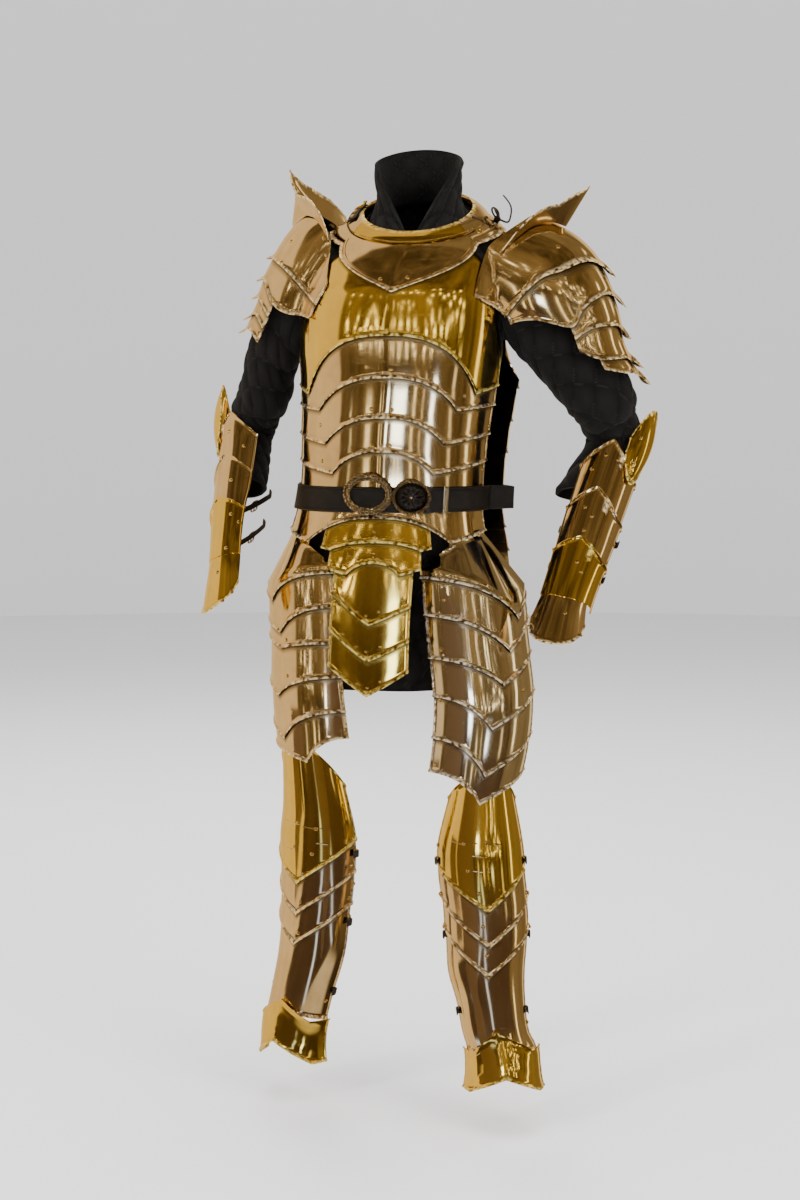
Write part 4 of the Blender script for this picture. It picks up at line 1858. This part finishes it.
def makeHall():
    world = bpy.context.scene.world or bpy.data.worlds.new("studioWorld")
    bpy.context.scene.world = world
    world.use_nodes = True
    # only rays that leave a plate look for the hall
    world.cycles.sampling_method = "NONE"
    sky = NodeMaker(world.node_tree)
    way = sky.node("TexCoord", output="Generated")
    parts = {axis: sky.node("SeparateXYZ", inputs={"Vector": way}, output=axis) for axis in "XYZ"}
    up = parts["Z"]
    azimuth = parts["X"].maths("ARCTAN2", parts["X"], 0.0 - parts["Y"]) * (180 / math.pi)

    def inside(value, low, high, soft):
        off = value - (low + high) / 2
        return ((high - low) / 2 / soft - off.maths("ABSOLUTE", off) / soft).clipped()

    patches = sky.noise(way, 2.6, 2.0, 0.55)
    streaks = sky.noise(way, 3.2, 1.0, 0.6, stretch=(3.5, 3.5, 0.35))
    glow = inside(up, -0.02, 0.70, 0.12) * (1.0 - inside(azimuth, 22.0, 86.0, 16.0) * 0.7)
    lit = (patches * 2.2 - 0.85).clipped() * 0.45 + (streaks * 3.0 - 1.35).clipped() * 0.35 + glow * 0.32
    colour = sky.mix(lit, studio["hallDark"], studio["hallWarm"])
    wall = inside(azimuth + (up - 0.40).clipped() * 75.0 + (up + 0.35).maths("MINIMUM", up + 0.35, 0.0) * 90.0,
                  -300.0, -56.0, 2.5) * inside(up, -1.1, 2.0, 0.1)
    behind = inside(azimuth, 84.0, 152.0, 4.0) * inside(up, -0.66, 2.0, 0.22)
    colour = sky.mix(inside(up, -2.0, -0.34, 0.10) * 0.75, colour, studio["ground"])
    near = inside(up, -2.0, -0.66, 0.08) * inside(azimuth, -70.0, 100.0, 10.0)
    colour = sky.mix(near, colour, studio["paleFloor"])
    colour = sky.mix(behind * 0.75, colour, studio["dimWall"])
    beside = inside(azimuth, 152.0, 300.0, 6.0) * inside(up, -0.66, 2.0, 0.22)
    colour = sky.mix(beside * (1.0 - inside(up, 0.42, 3.0, 0.2) * 0.8), colour, studio["paleWall"])
    colour = sky.mix(wall.clipped(), colour, studio["paleWall"])
    # strips of one height share its window
    rows, glows = {}, {True: None, False: None}
    for at, half, low, high, bright, isCool in studio["strips"]:
        lit = inside(azimuth, at - half, at + half, half * 0.35) * bright
        row = (low, high, isCool)
        rows[row] = rows[row] + lit if row in rows else lit
    for (low, high, isCool), lit in rows.items():
        lit = lit * inside(up, low, high, 0.05)
        glows[isCool] = lit if glows[isCool] is None else glows[isCool] + lit
    # far ceiling spots: their rows close up towards the horizon, where the breast mirrors them
    # over a longer stretch
    wide, tall, size, bright = studio["spots"]
    lift = up + 0.02 + azimuth * 0.00085
    lift = lift.maths("MAXIMUM", lift, 0.012)
    climb = lift.maths("LOGARITHM", lift, math.e)
    grid = sky.node("CombineXYZ", inputs={"X": azimuth / wide, "Y": climb / tall})
    away = sky.node("TexVoronoi", {"voronoi_dimensions": "2D"}, {"Vector": grid, "Scale": 1.0, "Randomness": 0.85},
                    output="Distance")
    few = (sky.noise(grid, 0.35, 0.0) * 6.0 - 2.3).clipped()
    nearer = 0.10 / lift
    spots = ((size - away) / (size * 0.5)).clipped() * few * nearer.maths("MINIMUM", nearer, 2.5) * bright
    spots = spots * inside(lift, 0.042, 0.44, 0.006) * inside(azimuth, -50.0, 66.0, 2.0)
    cool = sky.node("Background", inputs={"Color": studio["lampCool"], "Strength": glows[True]})
    warm = sky.node("Background", inputs={"Color": studio["lampWarm"], "Strength": spots + glows[False]})
    hall = sky.node("Background", inputs={"Color": colour, "Strength": patches * 0.4 + 0.80})
    lamps = sky.node("AddShader", inputs={0: cool, 1: warm})
    whole = sky.node("AddShader", inputs={0: lamps, 1: hall})
    world.node_tree.links.new(whole.socket, world.node_tree.nodes["World Output"].inputs["Surface"])


def addLight(name, place, aim, size, power, colour, glossy=False):
    way = np.array(aim, float) - np.array(place, float)
    flat = math.hypot(way[0], way[1])
    turned = (math.atan2(flat, -way[2]), 0, math.atan2(-way[0], way[1]))
    bpy.ops.object.light_add(type="AREA", location=place, rotation=turned)
    light = bpy.context.object
    light.name = name
    light.data.shape = "RECTANGLE"
    light.data.size, light.data.size_y = size
    light.data.energy = power
    light.data.color = colour
    light.visible_glossy = glossy
    light.visible_camera = False
    return light


def makeCards():
    # dark cards seen only in the plates: one before the middle line, since each leg mirrors it
    # where the other leg would stand, one beside the right leg, and one on the ground with two
    # pale lines running away from the legs
    dark = Finish("studioFlag")
    place = dark.node("TexCoord", output="Object")
    dark.feed(Base_Color=dark.mix(dark.noise(place, 2.0), (0.075, 0.045, 0.021), (0.13, 0.080, 0.034)), Roughness=0.9,
              Specular_IOR_Level=0.1)
    ground = Finish("studioGround")
    place = ground.node("TexCoord", output="Object")
    across = ground.node("SeparateXYZ", inputs={"Vector": place}, output="X")
    ahead = -1.0 * ground.node("SeparateXYZ", inputs={"Vector": place}, output="Y")
    line = None
    for start, slope in studio["lines"]:
        off = across - start - ahead * slope
        here = (1.0 - off.maths("ABSOLUTE", off) / (ahead * 0.045 + 0.012)).clipped()
        line = here if line is None else line + here
    grain = ground.noise(place, 3.0, stretch=(1.0, 0.3, 1.0))
    tone = ground.mix(grain, (0.012, 0.007, 0.003), (0.062, 0.036, 0.016))
    ground.feed(Base_Color=tone, Roughness=0.9, Specular_IOR_Level=0.1,
                Emission_Color=ground.mix(line.clipped(), (0.0, 0.0, 0.0), (0.62, 0.74, 0.95)), Emission_Strength=2.0)
    cards = [("studioFlag", dark, (-0.012, -0.62, -1.06), (0, math.pi / 2, 0), (0.92, 0.76, 1)),
             ("studioSideFlag", dark, (-0.90, -0.52, -1.22), (0, math.pi / 2, 0), (0.60, 0.42, 1)),
             ("studioGround", ground, (0.75, -1.40, studio["floor"] + 0.002), (0, 0, 0), (3.0, 2.4, 1))]
    for name, finish, spot, turned, size in cards:
        deselect()
        bpy.ops.mesh.primitive_grid_add(x_subdivisions=4, y_subdivisions=4, size=1, location=spot,
                                        rotation=turned)
        card = bpy.context.object
        card.scale = size
        bpy.ops.object.transform_apply(location=True, rotation=True, scale=True)
        card.name = name
        card.data.materials.append(finish.material)
        card.visible_camera = card.visible_diffuse = card.visible_shadow = False


makeStudio()
makeHall()
makeCards()
lights = [
    ("keyLight", (-2.4, -3.6, 1.6), (0, 0, -0.5), (0.5, 1.4), 90, (1.0, 0.96, 0.90)),
    ("fillLight", (2.8, -2.6, 1.4), (0, 0, -0.6), (1.7, 2.2), 110, (1.0, 0.97, 0.92)),
    ("topLight", (0.2, -0.4, 4.6), (0, 0, -0.4), (5.0, 5.0), 420, (1.0, 0.99, 0.97)),
    ("backLight", (-1.5, 3.6, 2.4), (0, 0, -0.4), (2.2, 2.0), 120, (1.0, 0.98, 0.95)),
    # a low narrow lamp that the tassets mirror as a cool white line
    ("tassetLamp", (0.20, -2.60, -0.80), (0.12, 0, -0.82), (0.34, 0.46), 3.4, (0.80, 0.90, 1.0), True),
]
for light in lights:
    addLight(*light)
print("studio made")
